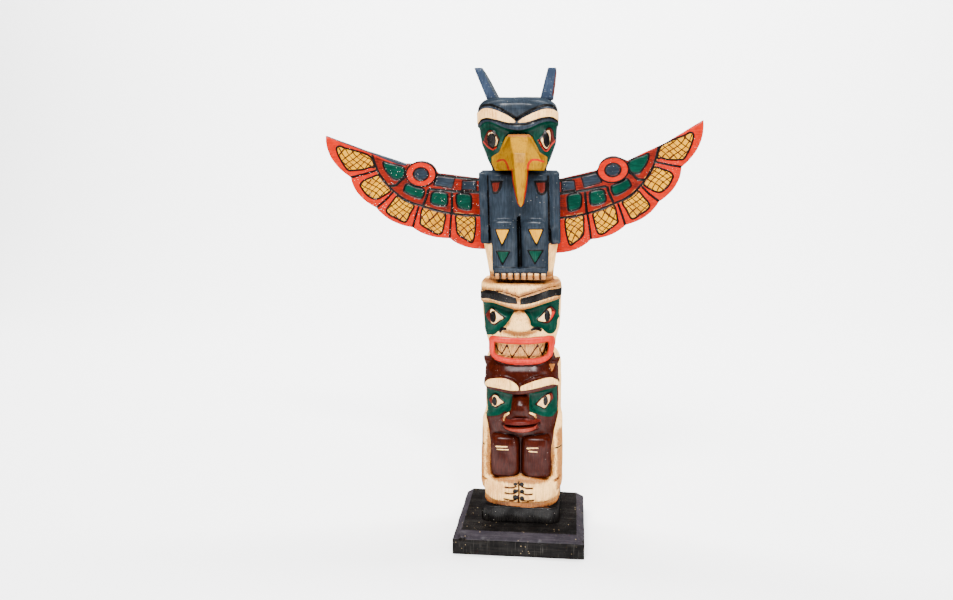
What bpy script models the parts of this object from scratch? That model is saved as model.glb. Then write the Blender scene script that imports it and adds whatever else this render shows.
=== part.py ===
# Totem pole, about half a metre tall: one carved and painted log on a bevelled base, with a glued-on
# beak, two ear boards and two wing boards let into slots in its sides.
# Metres, +Z up, the front is -Y. The origin is the centre of the base's underside.

import math

import bmesh
import bpy
import numpy
from mathutils import Vector

# Base
BASE_SIDE = 0.136
BASE_EDGE_HEIGHT = 0.0163
BASE_BEVEL_RISE = 0.0073
BASE_BEVEL_INSET = 0.0082
BASE_CORNER_RADIUS = 0.0025

# Log: its figures are stacked from the foot block up, each with its own height
LOG_WIDTH = 0.084
LOG_DEPTH = 0.088
LOG_SETBACK = 0.008
LOG_BOW = 0.0086
FOOT_HEIGHT = 0.0171
FIGURE_HEIGHT = 0.156
TOOTHED_HEAD_HEIGHT = 0.082
EAGLE_BODY_HEIGHT = 0.113
EAGLE_HEAD_HEIGHT = 0.075
EAGLE_BODY_TURN = math.radians(1.9)
EAGLE_HEAD_TURN = math.radians(4.0)

# Beak
BEAK_REACH = 0.038
BEAK_DROP = 0.035

# Ear boards
HORN_HEIGHT = 0.0318
HORN_THICKNESS = 0.0082
HORN_DEPTH = 0.019
HORN_SPACING = 0.054
HORN_SINK = 0.0025
LEFT_HORN_LEAN = math.radians(20.5)
RIGHT_HORN_LEAN = math.radians(15.5)

# Wing boards
WING_THICKNESS = 0.008
LEFT_WING_SPAN = 0.173
RIGHT_WING_SPAN = 0.159
LEFT_WING_HEIGHT = 0.119
RIGHT_WING_HEIGHT = 0.1225
LEFT_WING_LIFT = 0.0
RIGHT_WING_LIFT = math.radians(5.5)
LEFT_WING_DIP = 0.0
RIGHT_WING_DIP = 0.0035
WING_GROOVE_WIDTH = 0.0022
WING_GROOVE_DEPTH = 0.0012
RING_RISE = 0.0012

# Fits
GAP = 0.0003
RING_POINTS = 27
LIP_POINTS = 22
BAND_TAPER = 0.72
BAND_SINK = 0.04
BROW_TURN = math.radians(84)
FOREARM_TURN = math.radians(86)

HALF_WIDTH = LOG_WIDTH / 2
HALF_DEPTH = LOG_DEPTH / 2
BASE_HEIGHT = BASE_EDGE_HEIGHT + BASE_BEVEL_RISE
FOOT_BOTTOM = BASE_HEIGHT + GAP
FIGURE_BOTTOM = FOOT_BOTTOM + FOOT_HEIGHT
TOOTHED_HEAD_BOTTOM = FIGURE_BOTTOM + FIGURE_HEIGHT
EAGLE_BODY_BOTTOM = TOOTHED_HEAD_BOTTOM + TOOTHED_HEAD_HEIGHT
EAGLE_HEAD_BOTTOM = EAGLE_BODY_BOTTOM + EAGLE_BODY_HEIGHT
LOG_TOP = EAGLE_HEAD_BOTTOM + EAGLE_HEAD_HEIGHT

for leftover in list(bpy.data.objects):
    bpy.data.objects.remove(leftover)


def paint(name, red, green, blue, roughness):
    material = bpy.data.materials.new(name)
    material.use_nodes = True
    shader = material.node_tree.nodes["Principled BSDF"]
    shader.inputs["Base Color"].default_value = (red, green, blue, 1.0)
    shader.inputs["Roughness"].default_value = roughness
    shader.inputs["Metallic"].default_value = 0.0
    material.diffuse_color = (red, green, blue, 1.0)
    return material


BLACK = paint("black paint", 0.012, 0.012, 0.014, 0.45)
CREAM = paint("cream paint", 0.78, 0.58, 0.34, 0.55)
BROWN = paint("brown paint", 0.055, 0.012, 0.009, 0.35)
BLUE = paint("blue-grey paint", 0.030, 0.047, 0.085, 0.45)
GREEN = paint("green paint", 0.005, 0.065, 0.045, 0.40)
RED = paint("red paint", 0.58, 0.045, 0.030, 0.40)
YELLOW = paint("yellow ochre paint", 0.68, 0.34, 0.035, 0.40)
BONE = paint("bone white paint", 0.80, 0.68, 0.50, 0.50)


def bow(z):
    """The log's sideways bow at a height, as a natural branch has it."""
    return -LOG_BOW * ((z - FOOT_BOTTOM) / (LOG_TOP - FOOT_BOTTOM)) ** 2


def figure(bottom, height, turn=0.0):
    """Gives a function that places a point of one figure: x and y as shares of the log's half width and
    half depth, z as a share of the figure's height. The figure is turned about the log's axis."""
    def at(x, y, z):
        across = x * HALF_WIDTH
        deep = y * HALF_DEPTH
        up = bottom + z * height
        return Vector((across * math.cos(turn) - deep * math.sin(turn) + bow(up),
                       across * math.sin(turn) + deep * math.cos(turn) + LOG_SETBACK, up))
    return at


def new_object(name, mesh, material):
    bmesh.ops.recalc_face_normals(mesh, faces=mesh.faces)
    data = bpy.data.meshes.new(name)
    mesh.to_mesh(data)
    mesh.free()
    data.materials.append(material)
    obj = bpy.data.objects.new(name, data)
    bpy.context.collection.objects.link(obj)
    return obj


def loft(name, rings, material):
    """A closed solid through rings of points, flat at both ends."""
    mesh = bmesh.new()
    loops = [[mesh.verts.new(point) for point in ring] for ring in rings]
    for low, high in zip(loops, loops[1:]):
        for k in range(len(low)):
            mesh.faces.new((low[k - 1], low[k], high[k], high[k - 1]))
    mesh.faces.new(loops[0])
    mesh.faces.new(loops[-1])
    return new_object(name, mesh, material)


def rounded(angle, power):
    """A point of the unit outline between a circle (power 2) and a square (high power)."""
    c = math.cos(angle)
    s = math.sin(angle)
    return (math.copysign(abs(c) ** (2 / power), c), math.copysign(abs(s) ** (2 / power), s))


def ring(at, z, side, front, back, power, centre=0.0, count=RING_POINTS):
    middle = (front + back) / 2
    reach = (back - front) / 2
    points = []
    for k in range(count):
        x, y = rounded(2 * math.pi * k / count, power)
        points.append(at(centre + side * x, middle + reach * y, z))
    return points


def trunk(name, at, levels, power, material, centre=0.0, count=RING_POINTS):
    """A length of log through levels of (z, half width, front, back)."""
    rings = [ring(at, z, side, front, back, power, centre, count) for z, side, front, back in levels]
    return loft(name, rings, material)


def pillow(name, at, centre, side, front, back, bottom, top, edge, material, power=5, count=20):
    """An upright block with rounded corners and bevelled ends; edge is a share of the height."""
    drop = edge * (top - bottom)
    levels = [(bottom, side * 0.86, front * 0.95, back),
              (bottom + drop * 0.6, side, front, back),
              (top - drop, side, front, back),
              (top - drop * 0.35, side * 0.95, front * 0.97, back),
              (top, side * 0.80, front * 0.88, back)]
    return trunk(name, at, levels, power, material, centre, count)


def dome(name, at, centre, radii, material, across=12, up=8):
    mesh = bmesh.new()
    bmesh.ops.create_uvsphere(mesh, u_segments=across, v_segments=up, radius=1.0)
    for vert in mesh.verts:
        vert.co = at(*(c + r * v for c, r, v in zip(centre, radii, vert.co)))
    return new_object(name, mesh, material)


def band(name, at, side, front, raised, turn_to, top, bottom, material, power=2.6, steps=22, edge=0.024):
    """A raised strip wrapped round the front of the log, sinking into it at both ends. top and bottom
    are its edges' heights, as (x, z) pairs from the middle out; raised is how far it stands out, as a
    share of the log."""
    sections = []
    for k in range(steps + 1):
        angle = -turn_to + 2 * turn_to * k / steps
        x, y = rounded(angle - math.pi / 2, power)
        high = numpy.interp(abs(x), *zip(*top))
        low = numpy.interp(abs(x), *zip(*bottom))
        soft = min(edge, 0.3 * (high - low))
        sunk = max(0.0, abs(angle) / turn_to - BAND_TAPER) / (1 - BAND_TAPER)
        face = 1 + raised - (raised + BAND_SINK) * sunk ** 2
        section = []
        for out, z in ((0.72, low), (face - edge, low), (face, low + soft),
                       (face, high - soft), (face - edge, high), (0.72, high)):
            section.append(at(side * x * out, front * y * out, z))
        sections.append(section)
    return loft(name, sections, material)


def tube(name, points, radii, closed, material, sides=2):
    """A round strand along points, made from a bevelled curve."""
    curve = bpy.data.curves.new(name, "CURVE")
    curve.dimensions = "3D"
    curve.bevel_depth = 1.0
    curve.bevel_resolution = sides
    curve.use_fill_caps = True
    spline = curve.splines.new("POLY")
    spline.points.add(len(points) - 1)
    spline.use_cyclic_u = closed
    for node, point, radius in zip(spline.points, points, radii):
        node.co = (*point, 1.0)
        node.radius = radius
    source = bpy.data.objects.new(name, curve)
    bpy.context.collection.objects.link(source)
    mesh = bmesh.new()
    shape = bpy.data.meshes.new_from_object(source.evaluated_get(bpy.context.evaluated_depsgraph_get()))
    mesh.from_mesh(shape)
    bmesh.ops.remove_doubles(mesh, verts=mesh.verts, dist=0.00001)
    bpy.data.objects.remove(source)
    return new_object(name, mesh, material)


def prism(name, place, outline, start, end, material):
    """An outline of (x, z) points run from one depth to another; place(x, depth, z) gives each point."""
    rings = [[place(x, depth, z) for x, z in outline] for depth in (start, end)]
    return loft(name, rings, material)


def combine(target, pieces, operation):
    for piece in pieces:
        piece.hide_render = True
        piece.display_type = "WIRE"
        modifier = target.modifiers.new(piece.name, "BOOLEAN")
        modifier.operation = operation
        modifier.solver = "EXACT"
        modifier.material_mode = "TRANSFER"
        modifier.object = piece
        evaluated = target.evaluated_get(bpy.context.evaluated_depsgraph_get())
        result = bpy.data.meshes.new_from_object(evaluated)
        target.modifiers.clear()
        target.data = result
        bpy.data.objects.remove(piece)


def join(target, *pieces):
    combine(target, pieces, "UNION")


def cut(target, *cutters):
    combine(target, cutters, "DIFFERENCE")


def smooth(obj, degrees):
    """Shades the rounded faces smooth and keeps the carved edges sharp."""
    obj.data.shade_smooth()
    obj.data.set_sharp_from_angle(angle=math.radians(degrees))


def mirrored(side_points):
    """The whole outline from its right half, listed from the top down."""
    return side_points + [(-x, z) for x, z in reversed(side_points)]


# Base: a square board with rounded upright corners and a wide bevel round its top
def make_base():
    def square(half, z):
        radius = BASE_CORNER_RADIUS
        points = []
        for quarter in range(4):
            for step in range(4):
                angle = math.pi / 2 * (quarter + step / 3)
                corner = math.pi / 2 * quarter + math.pi / 4
                reach = (half - radius) * math.sqrt(2)
                points.append(Vector((reach * math.cos(corner) + radius * math.cos(angle),
                                      reach * math.sin(corner) + radius * math.sin(angle), z)))
        return points
    half = BASE_SIDE / 2
    rings = [square(half, 0.0), square(half, BASE_EDGE_HEIGHT), square(half - BASE_BEVEL_INSET, BASE_HEIGHT)]
    return loft("base", rings, BLACK)


# Foot block under the carved figures
def carve_foot(at):
    return trunk("pole", at, [(0.0, 1.0, -1.0, 1.0), (0.5, 1.0, -0.995, 1.0), (1.02, 0.985, -0.985, 0.99)],
                 9, BLACK)


# Eye sockets and cheeks of a face are set back in its trunk; these forms stand out of it
def carve_eyes(at, name, spread, depth, z, width, height, material):
    for hand in (-1, 1):
        yield dome(name, at, (hand * spread, depth, z), (width, 0.055, height), material, 10, 6)


def carve_brown_figure(pole, at):
    lap = [(-0.03, 0.94, -0.92, 0.98), (0.10, 0.955, -0.93, 1.0), (0.20, 0.955, -0.86, 1.0)]
    join(pole, trunk("cream lap", at, lap, 3.4, CREAM))
    face = [(0.15, 0.92, -0.78, 0.6), (0.46, 0.90, -0.78, 0.6), (0.50, 0.86, -0.86, 0.6),
            (0.58, 0.90, -0.93, 0.6), (0.64, 0.92, -0.93, 0.6), (0.70, 0.93, -0.86, 0.6),
            (0.79, 0.93, -0.84, 0.6), (0.86, 0.93, -0.94, 0.6), (0.93, 0.92, -0.90, 0.6),
            (1.02, 0.80, -0.74, 0.6)]
    join(pole, trunk("brown face", at, face, 2.8, BROWN))
    back = [(-0.01, 0.96, -0.18, 1.01), (0.30, 0.985, -0.18, 1.02), (0.93, 0.98, -0.10, 1.01),
            (0.975, 0.93, -0.02, 0.97), (0.985, 0.86, 0.0, 0.90), (1.02, 0.84, 0.0, 0.88)]
    join(pole, trunk("cream back", at, back, 3.6, CREAM))
    # upper arms down the sides, and the forearms that meet in front
    for hand in (-1, 1):
        arm = [(0.10, 0.14, -0.72, 0.50), (0.15, 0.19, -0.80, 0.60), (0.36, 0.19, -0.60, 0.62),
               (0.56, 0.17, -0.42, 0.60), (0.60, 0.12, -0.30, 0.50)]
        join(pole, trunk("upper arm", at, arm, 3.5, CREAM, hand * 0.85, 16))
    join(pole, band("forearms", at, 1.02, 1.0, 0.05, FOREARM_TURN,
                    [(0, 0.215), (0.5, 0.21), (1, 0.15)], [(0, 0.035), (0.7, 0.04), (1, 0.11)],
                    CREAM, 3.2, edge=0.028))
    for hand in (-1, 1):
        join(pole, pillow("knee", at, hand * 0.395, 0.37, -1.0, -0.4, 0.208, 0.498, 0.2, BROWN))
    # brow ridge in two arches, nose, wings of the nose and lips
    join(pole, band("brow ridge", at, 0.93, 0.93, 0.055, BROW_TURN,
                    [(0, 0.85), (0.25, 0.885), (0.6, 0.91), (0.85, 0.895), (1, 0.85)],
                    [(0, 0.775), (0.3, 0.79), (0.6, 0.81), (1, 0.81)], BROWN))
    nose = [(0.645, 0.16, -0.98, -0.5), (0.665, 0.25, -1.10, -0.5), (0.70, 0.25, -1.12, -0.5),
            (0.74, 0.22, -1.05, -0.5), (0.782, 0.15, -0.95, -0.6)]
    join(pole, trunk("nose", at, nose, 2.3, BROWN, count=14))
    for hand in (-1, 1):
        join(pole, dome("wing of the nose", at, (hand * 0.27, -0.92, 0.648), (0.16, 0.12, 0.036), BROWN))
    for z, width, height in ((0.603, 0.50, 0.028), (0.557, 0.42, 0.034)):
        join(pole, dome("lip", at, (0, -0.88, z), (width, 0.23, height), BROWN, 14))
    for eye in carve_eyes(at, "eye", 0.64, -0.735, 0.712, 0.22, 0.046, GREEN):
        join(pole, eye)
    # pointed ears at the sides of the forehead
    for hand in (-1, 1):
        ear = [(hand * 0.985, 1.0), (hand * 0.66, 0.985), (hand * 0.80, 0.895)]
        join(pole, prism("ear", at, ear, -0.64, -0.2, BROWN))
    # finger grooves on both sides of the line between the hands
    for z in (0.082, 0.119, 0.156):
        for hand in (-1, 1):
            notch = [(hand * 0.06, z - 0.006), (hand * 0.40, z - 0.006), (hand * 0.40, z + 0.006),
                     (hand * 0.06, z + 0.006)]
            cut(pole, prism("finger groove", at, notch, -1.2, -1.02, CREAM))
    meeting = [(-0.018, 0.05), (0.018, 0.05), (0.018, 0.19), (-0.018, 0.19)]
    cut(pole, prism("line between the hands", at, meeting, -1.2, -1.02, CREAM))


def carve_toothed_head(pole, at):
    log = [(-0.02, 0.70, -0.70, 0.92), (0.08, 0.78, -0.88, 0.96), (0.30, 0.90, -0.96, 1.0),
           (0.40, 0.96, -0.93, 1.0), (0.60, 0.99, -0.86, 1.0), (0.72, 1.0, -0.85, 1.0),
           (0.80, 1.0, -0.97, 1.0), (0.93, 1.01, -1.0, 1.0), (0.98, 0.99, -0.98, 0.99),
           (1.01, 0.93, -0.92, 0.95)]
    join(pole, trunk("cream head", at, log, 2.9, CREAM))
    join(pole, band("brow ridge", at, 1.0, 0.98, 0.03, BROW_TURN,
                    [(0, 0.86), (0.3, 0.93), (1, 0.955)],
                    [(0, 0.67), (0.18, 0.69), (0.45, 0.73), (0.75, 0.77), (1, 0.77)], CREAM))
    muzzle = [(0.03, 0.60, -0.93, -0.2), (0.12, 0.70, -1.0, -0.2), (0.36, 0.74, -1.03, -0.2),
              (0.42, 0.66, -0.98, -0.2)]
    join(pole, trunk("muzzle", at, muzzle, 3.2, CREAM))
    nose = [(0.40, 0.20, -1.02, -0.5), (0.44, 0.28, -1.15, -0.5), (0.52, 0.28, -1.18, -0.5),
            (0.60, 0.24, -1.08, -0.5), (0.68, 0.14, -0.92, -0.5)]
    join(pole, trunk("nose", at, nose, 2.3, CREAM, count=14))
    for hand in (-1, 1):
        join(pole, dome("wing of the nose", at, (hand * 0.30, -0.95, 0.44), (0.17, 0.12, 0.06), CREAM))
    for eye in carve_eyes(at, "eye", 0.65, -0.765, 0.56, 0.24, 0.085, GREEN):
        join(pole, eye)
    # lips: one open rounded rim, thicker below, round the row of teeth
    rim = []
    thickness = []
    for k in range(LIP_POINTS):
        across, up = rounded(2 * math.pi * (k + 0.5) / LIP_POINTS, 3.2)
        x = 0.70 * across
        z = 0.185 + 0.135 * up - 0.012 * (1 - abs(across)) * (1 - up)
        out = (1 - (abs(x) / 0.80) ** 3.2) ** (1 / 3.2)
        rim.append(at(x, -0.2 - 0.83 * out, z))
        thickness.append(0.0038 - 0.0004 * up)
    join(pole, tube("lips", rim, thickness, True, RED))
    # pointed teeth stand a little out of the muzzle
    for k in range(6):
        x = -0.50 + 0.2 * k
        tooth = [(x - 0.09, 0.10), (x + 0.09, 0.10), (x, 0.25)]
        out = (1 - (abs(x) / 0.78) ** 3.2) ** (1 / 3.2)
        join(pole, prism("tooth", at, tooth, -0.2 - 0.835 * out, -0.6, BONE))


def carve_eagle_body(pole, at):
    tail = [(-0.02, 0.80, -0.60, 0.90), (0.06, 0.81, -0.62, 0.90), (0.34, 0.93, -0.62, 0.97),
            (0.40, 0.93, -0.55, 0.97)]
    join(pole, trunk("cream tail", at, tail, 3.2, CREAM))
    log = [(0.35, 0.96, -0.60, 1.0), (0.99, 0.96, -0.60, 1.0), (1.01, 0.94, -0.57, 0.97)]
    join(pole, trunk("body", at, log, 3.2, BLUE))
    for hand in (-1, 1):
        strip = [(0.345, 0.115, -0.50, 0.30), (0.375, 0.125, -0.525, 0.30), (0.985, 0.125, -0.525, 0.30),
                 (1.0, 0.11, -0.50, 0.30)]
        join(pole, trunk("side strip", at, strip, 7, BLUE, hand * 0.865, 16))
        join(pole, pillow("breast", at, hand * 0.365, 0.375, -0.88, -0.2, 0.55, 1.0, 0.12, BLUE, 3.4))
        leg = [(0.10, 0.305, -0.93, -0.2), (0.30, 0.32, -0.94, -0.2), (0.52, 0.345, -0.965, -0.2),
               (0.575, 0.34, -0.95, -0.2), (0.602, 0.29, -0.86, -0.2)]
        join(pole, trunk("leg", at, leg, 3.6, BLUE, hand * 0.355, 20))
    between = [(0.10, 0.20, -0.70, -0.2), (0.56, 0.20, -0.74, -0.2)]
    join(pole, trunk("between the legs", at, between, 6, BLUE, count=8))
    # the feet in one bar, with eight claws under it
    feet = [(0.045, 0.64, -0.97, -0.2), (0.15, 0.65, -1.0, -0.2)]
    join(pole, trunk("feet", at, feet, 9, BLUE))
    claws = 8
    pitch = 1.28 / claws
    for k in range(claws):
        x = -0.64 + pitch * (k + 0.5)
        claw = [(x - pitch * 0.36, 0.045), (x + pitch * 0.36, 0.045), (x + pitch * 0.36, 0.095),
                (x - pitch * 0.36, 0.095)]
        join(pole, prism("claw", at, claw, -1.04, -0.7, BONE))


BEAK_SEAT = -0.70
PLATES = mirrored([(0.24, 0.50), (0.32, 0.46), (0.49, 0.26), (0.67, 0.20), (0.66, 0.11), (0.58, 0.02)])


def carve_eagle_head(pole, at):
    log = [(-0.02, 0.66, -0.52, 0.62), (0.07, 0.69, -0.58, 0.66), (0.16, 0.77, -0.68, 0.76),
           (0.25, 0.83, -0.74, 0.86), (0.37, 0.92, -0.80, 0.96), (0.55, 0.96, -0.84, 1.0),
           (0.65, 0.975, -0.86, 1.0), (0.72, 0.98, -0.93, 1.0), (0.83, 0.98, -0.97, 1.0),
           (0.90, 0.935, -0.95, 0.97), (0.95, 0.85, -0.88, 0.90), (0.98, 0.74, -0.78, 0.80),
           (1.0, 0.58, -0.60, 0.64)]
    join(pole, trunk("eagle head", at, log, 3.0, BLUE))
    join(pole, band("brow ridge", at, 0.98, 0.96, 0.04, BROW_TURN,
                    [(0, 0.72), (0.3, 0.80), (0.7, 0.87), (0.9, 0.86), (1, 0.82)],
                    [(0, 0.535), (0.3, 0.575), (0.6, 0.64), (0.8, 0.65), (1, 0.60)], BLUE))
    for eye in carve_eyes(at, "eye", 0.655, -0.715, 0.43, 0.22, 0.12, GREEN):
        join(pole, eye)
    # pocket for the beak
    seat = BEAK_SEAT + GAP / HALF_DEPTH
    grow_x = 1 + GAP / (0.6 * HALF_WIDTH)
    socket = [(x * grow_x, z + math.copysign(GAP / EAGLE_HEAD_HEIGHT, z - 0.25)) for x, z in PLATES]
    cut(pole, prism("beak pocket", at, socket, seat, -1.4, BLUE))
    # flats under the ear boards
    for hand in (-1, 1):
        place = horn_frame(at, hand, 0.0)
        flat = [(-HORN_THICKNESS, -GAP), (HORN_THICKNESS, -GAP), (HORN_THICKNESS, 2 * HORN_SINK),
                (-HORN_THICKNESS, 2 * HORN_SINK)]
        cut(pole, prism("ear board flat", place, flat, -GAP, HORN_DEPTH + GAP, BLUE))


# Beak: cheek plates with stepped edges, and a hook that juts out and drops over the breast
def make_beak(at):
    reach = BEAK_REACH / HALF_DEPTH
    drop = BEAK_DROP / EAGLE_HEAD_HEIGHT
    front = BEAK_SEAT - reach
    beak = prism("beak", at, PLATES, BEAK_SEAT, BEAK_SEAT - 0.24 * reach, YELLOW)

    def facet(z, foot, crest, jut):
        """A level of the ridge: broad where it meets the plates, flat along its crest."""
        base = BEAK_SEAT - 0.1 * reach
        top = BEAK_SEAT - jut * reach
        return [at(-foot, base, z), at(-foot, base + 0.35 * (top - base), z), at(-crest, top, z),
                at(crest, top, z), at(foot, base + 0.35 * (top - base), z), at(foot, base, z)]
    ridge = [facet(0.49, 0.22, 0.19, 0.40), facet(0.43, 0.28, 0.20, 0.62), facet(0.25, 0.44, 0.15, 0.90),
             facet(0.12, 0.54, 0.12, 0.97), facet(0.03, 0.50, 0.115, 0.99)]
    join(beak, loft("ridge", ridge, YELLOW))
    hook = []
    for share, half, back, jut in ((-0.35, 0.18, 0.52, 0.88), (0.0, 0.175, 0.50, 0.99), (0.35, 0.145, 0.50, 1.0),
                                   (0.68, 0.10, 0.60, 0.985), (0.9, 0.055, 0.72, 0.96), (1.0, 0.02, 0.80, 0.93)):
        z = 0.02 - share * drop
        rear = BEAK_SEAT - back * reach
        top = BEAK_SEAT - jut * reach
        hook.append([at(-half * 0.8, rear, z), at(-half, (rear + top) / 2, z), at(-half * 0.55, top, z),
                     at(half * 0.55, top, z), at(half, (rear + top) / 2, z), at(half * 0.8, rear, z)])
    join(beak, loft("hook", hook, YELLOW))
    return beak


# Ear boards: upright front edge, curved back edge, leaning outwards, each let into a flat on the crown
HORN_FRONT = -0.41
HORN_EDGE = [(0.0, 0.0), (0.0, 0.95), (0.14, 1.0), (0.55, 0.86), (0.83, 0.55), (0.97, 0.22), (1.0, 0.0)]


def horn_frame(at, hand, lean):
    """Places a point of an ear board: across its thickness, back from its front and up from its foot."""
    middle = hand * HORN_SPACING / 2

    def place(across, deep, up):
        x = middle + across + hand * up * math.tan(lean)
        z = 1 + (up - HORN_SINK) / EAGLE_HEAD_HEIGHT
        return at(x / HALF_WIDTH, HORN_FRONT + deep / HALF_DEPTH, z)
    return place


def make_horn(name, at, hand, lean):
    place = horn_frame(at, hand, lean)
    rings = [[place(across, deep * HORN_DEPTH, up * HORN_HEIGHT) for deep, up in HORN_EDGE]
             for across in (-HORN_THICKNESS / 2, HORN_THICKNESS / 2)]
    return loft(name, rings, BLUE)


# Wings, as shares of their span (x, outwards from the log's side) and of their height (z, from the
# line between the two rows of feathers at the root)
WING_ROOT = -0.012
WING_TOP_AT_ROOT = 0.343
WING_FOOT_AT_ROOT = -0.294
FEATHER_NOTCHES = [(0.847, 0.339), (0.690, 0.070), (0.464, -0.105), (0.231, -0.200)]
ROW_LINE = [(0.708, 0.532), (0.676, 0.398), (0.603, 0.254), (0.523, 0.158), (0.408, 0.092), (0.260, 0.034),
            (0.050, 0.004)]
FEATHER_LINE_ENDS = [(0.693, 0.402), (0.597, 0.215), (0.430, 0.078), (0.220, 0.024)]
INNER_LINES = [[(0.508, 0.325), (0.560, 0.268), (0.603, 0.262)], [(0.364, 0.227), (0.391, 0.100)],
               [(0.216, 0.200), (0.217, 0.036)], [(0.350, 0.240), (0.060, 0.212)]]
RING_CENTRE = (0.406, 0.370)
RING_RADIUS = (0.0975, 0.118)


def arc(start, end, bulge, steps):
    """Points along a round arc, without its start. bulge is the rise over the chord's length, to the
    right of the way from start to end when it is positive."""
    a = Vector(start)
    b = Vector(end)
    across = Vector((b.y - a.y, a.x - b.x))
    points = []
    for k in range(1, steps + 1):
        t = k / steps
        points.append(tuple(a.lerp(b, t) + across * bulge * 4 * t * (1 - t)))
    return points


def wing_outline(dip):
    points = [(WING_ROOT, WING_TOP_AT_ROOT), (0.066, 0.340), (0.30, 0.380)]
    for k in range(7):
        angle = math.radians(12 + 113 * k / 6)
        points.append((RING_CENTRE[0] - RING_RADIUS[0] * math.cos(angle),
                       RING_CENTRE[1] + RING_RADIUS[1] * math.sin(angle)))
    points += [(0.506, 0.466 - dip), (0.60, 0.512 - dip), (0.75, 0.58 - dip), (1.0, 0.709)]
    corners = [(1.0, 0.709)] + FEATHER_NOTCHES + [(0.039, WING_FOOT_AT_ROOT)]
    for start, end in zip(corners, corners[1:]):
        points += arc(start, end, -0.115, 5)
    points.append((WING_ROOT, WING_FOOT_AT_ROOT))
    return points


def wing_frame(hand, span, height, lift):
    """Places a point of a wing: x a share of its span, z of its height, and between them the real depth
    behind the board's front."""
    root_x = 0.84 * HALF_WIDTH
    root_z = EAGLE_BODY_BOTTOM + (0.573 - 0.011 * hand) * EAGLE_BODY_HEIGHT
    front = LOG_SETBACK

    def place(x, depth, z):
        out = x * span * math.cos(lift) - z * height * math.sin(lift)
        up = x * span * math.sin(lift) + z * height * math.cos(lift)
        return Vector((hand * (root_x + out) + bow(root_z), front + depth, root_z + up))
    return place


def wing_groove(place, span, height, points):
    """A V groove cutter along points on the board's front."""
    sections = []
    for k, (x, z) in enumerate(points):
        before = Vector(points[max(k - 1, 0)])
        after = Vector(points[min(k + 1, len(points) - 1)])
        way = Vector(((after.x - before.x) * span, (after.y - before.y) * height)).normalized()
        side_x = -way.y * WING_GROOVE_WIDTH / span
        side_z = way.x * WING_GROOVE_WIDTH / height
        sections.append([place(x - side_x, -WING_GROOVE_DEPTH, z - side_z),
                         place(x + side_x, -WING_GROOVE_DEPTH, z + side_z), place(x, WING_GROOVE_DEPTH, z)])
    return loft("wing groove", sections, RED)


def ring_circle(share):
    angles = [2 * math.pi * k / 20 for k in range(20)]
    return [(RING_CENTRE[0] + share * RING_RADIUS[0] * math.cos(angle),
             RING_CENTRE[1] + share * RING_RADIUS[1] * math.sin(angle)) for angle in angles]


def make_wing(name, pole, hand, span, height, lift, dip):
    place = wing_frame(hand, span, height, lift)
    wing = prism(name, place, wing_outline(dip / height), 0.0, WING_THICKNESS, RED)
    cut(wing, wing_groove(place, span, height, ROW_LINE[1:]))
    for notch, end in zip(FEATHER_NOTCHES, FEATHER_LINE_ENDS):
        start = tuple(Vector(notch).lerp(Vector(end), 0.06))
        cut(wing, wing_groove(place, span, height, [start, end]))
    for line in INNER_LINES:
        cut(wing, wing_groove(place, span, height, line))
    join(wing, prism("ring", place, ring_circle(0.9), -RING_RISE, WING_THICKNESS / 2, RED))
    cut(wing, prism("ring middle", place, ring_circle(0.48), -2 * RING_RISE, 0.0001, BLUE))
    # the slot in the log that holds the board's root
    grow_x = GAP / span
    grow_z = GAP / height
    root = [(WING_ROOT - grow_x, WING_TOP_AT_ROOT + grow_z), (0.25, WING_TOP_AT_ROOT + grow_z + 0.02),
            (0.25, WING_FOOT_AT_ROOT - grow_z - 0.02), (WING_ROOT - grow_x, WING_FOOT_AT_ROOT - grow_z)]
    cut(pole, prism("wing slot", place, root, -GAP, WING_THICKNESS + GAP, BLUE))
    return wing


base = make_base()
pole = carve_foot(figure(FOOT_BOTTOM, FOOT_HEIGHT))
carve_brown_figure(pole, figure(FIGURE_BOTTOM, FIGURE_HEIGHT))
carve_toothed_head(pole, figure(TOOTHED_HEAD_BOTTOM, TOOTHED_HEAD_HEIGHT))
carve_eagle_body(pole, figure(EAGLE_BODY_BOTTOM, EAGLE_BODY_HEIGHT, EAGLE_BODY_TURN))
eagle_head = figure(EAGLE_HEAD_BOTTOM, EAGLE_HEAD_HEIGHT, EAGLE_HEAD_TURN)
carve_eagle_head(pole, eagle_head)
left_wing = make_wing("left_wing", pole, -1, LEFT_WING_SPAN, LEFT_WING_HEIGHT, LEFT_WING_LIFT,
                      LEFT_WING_DIP)
right_wing = make_wing("right_wing", pole, 1, RIGHT_WING_SPAN, RIGHT_WING_HEIGHT, RIGHT_WING_LIFT,
                       RIGHT_WING_DIP)
beak = make_beak(eagle_head)
left_horn = make_horn("left_horn", eagle_head, -1, LEFT_HORN_LEAN)
right_horn = make_horn("right_horn", eagle_head, 1, RIGHT_HORN_LEAN)
smooth(pole, 32)
for flat_piece in (base, beak, left_horn, right_horn, left_wing, right_wing):
    smooth(flat_piece, 20)
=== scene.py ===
import math

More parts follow.
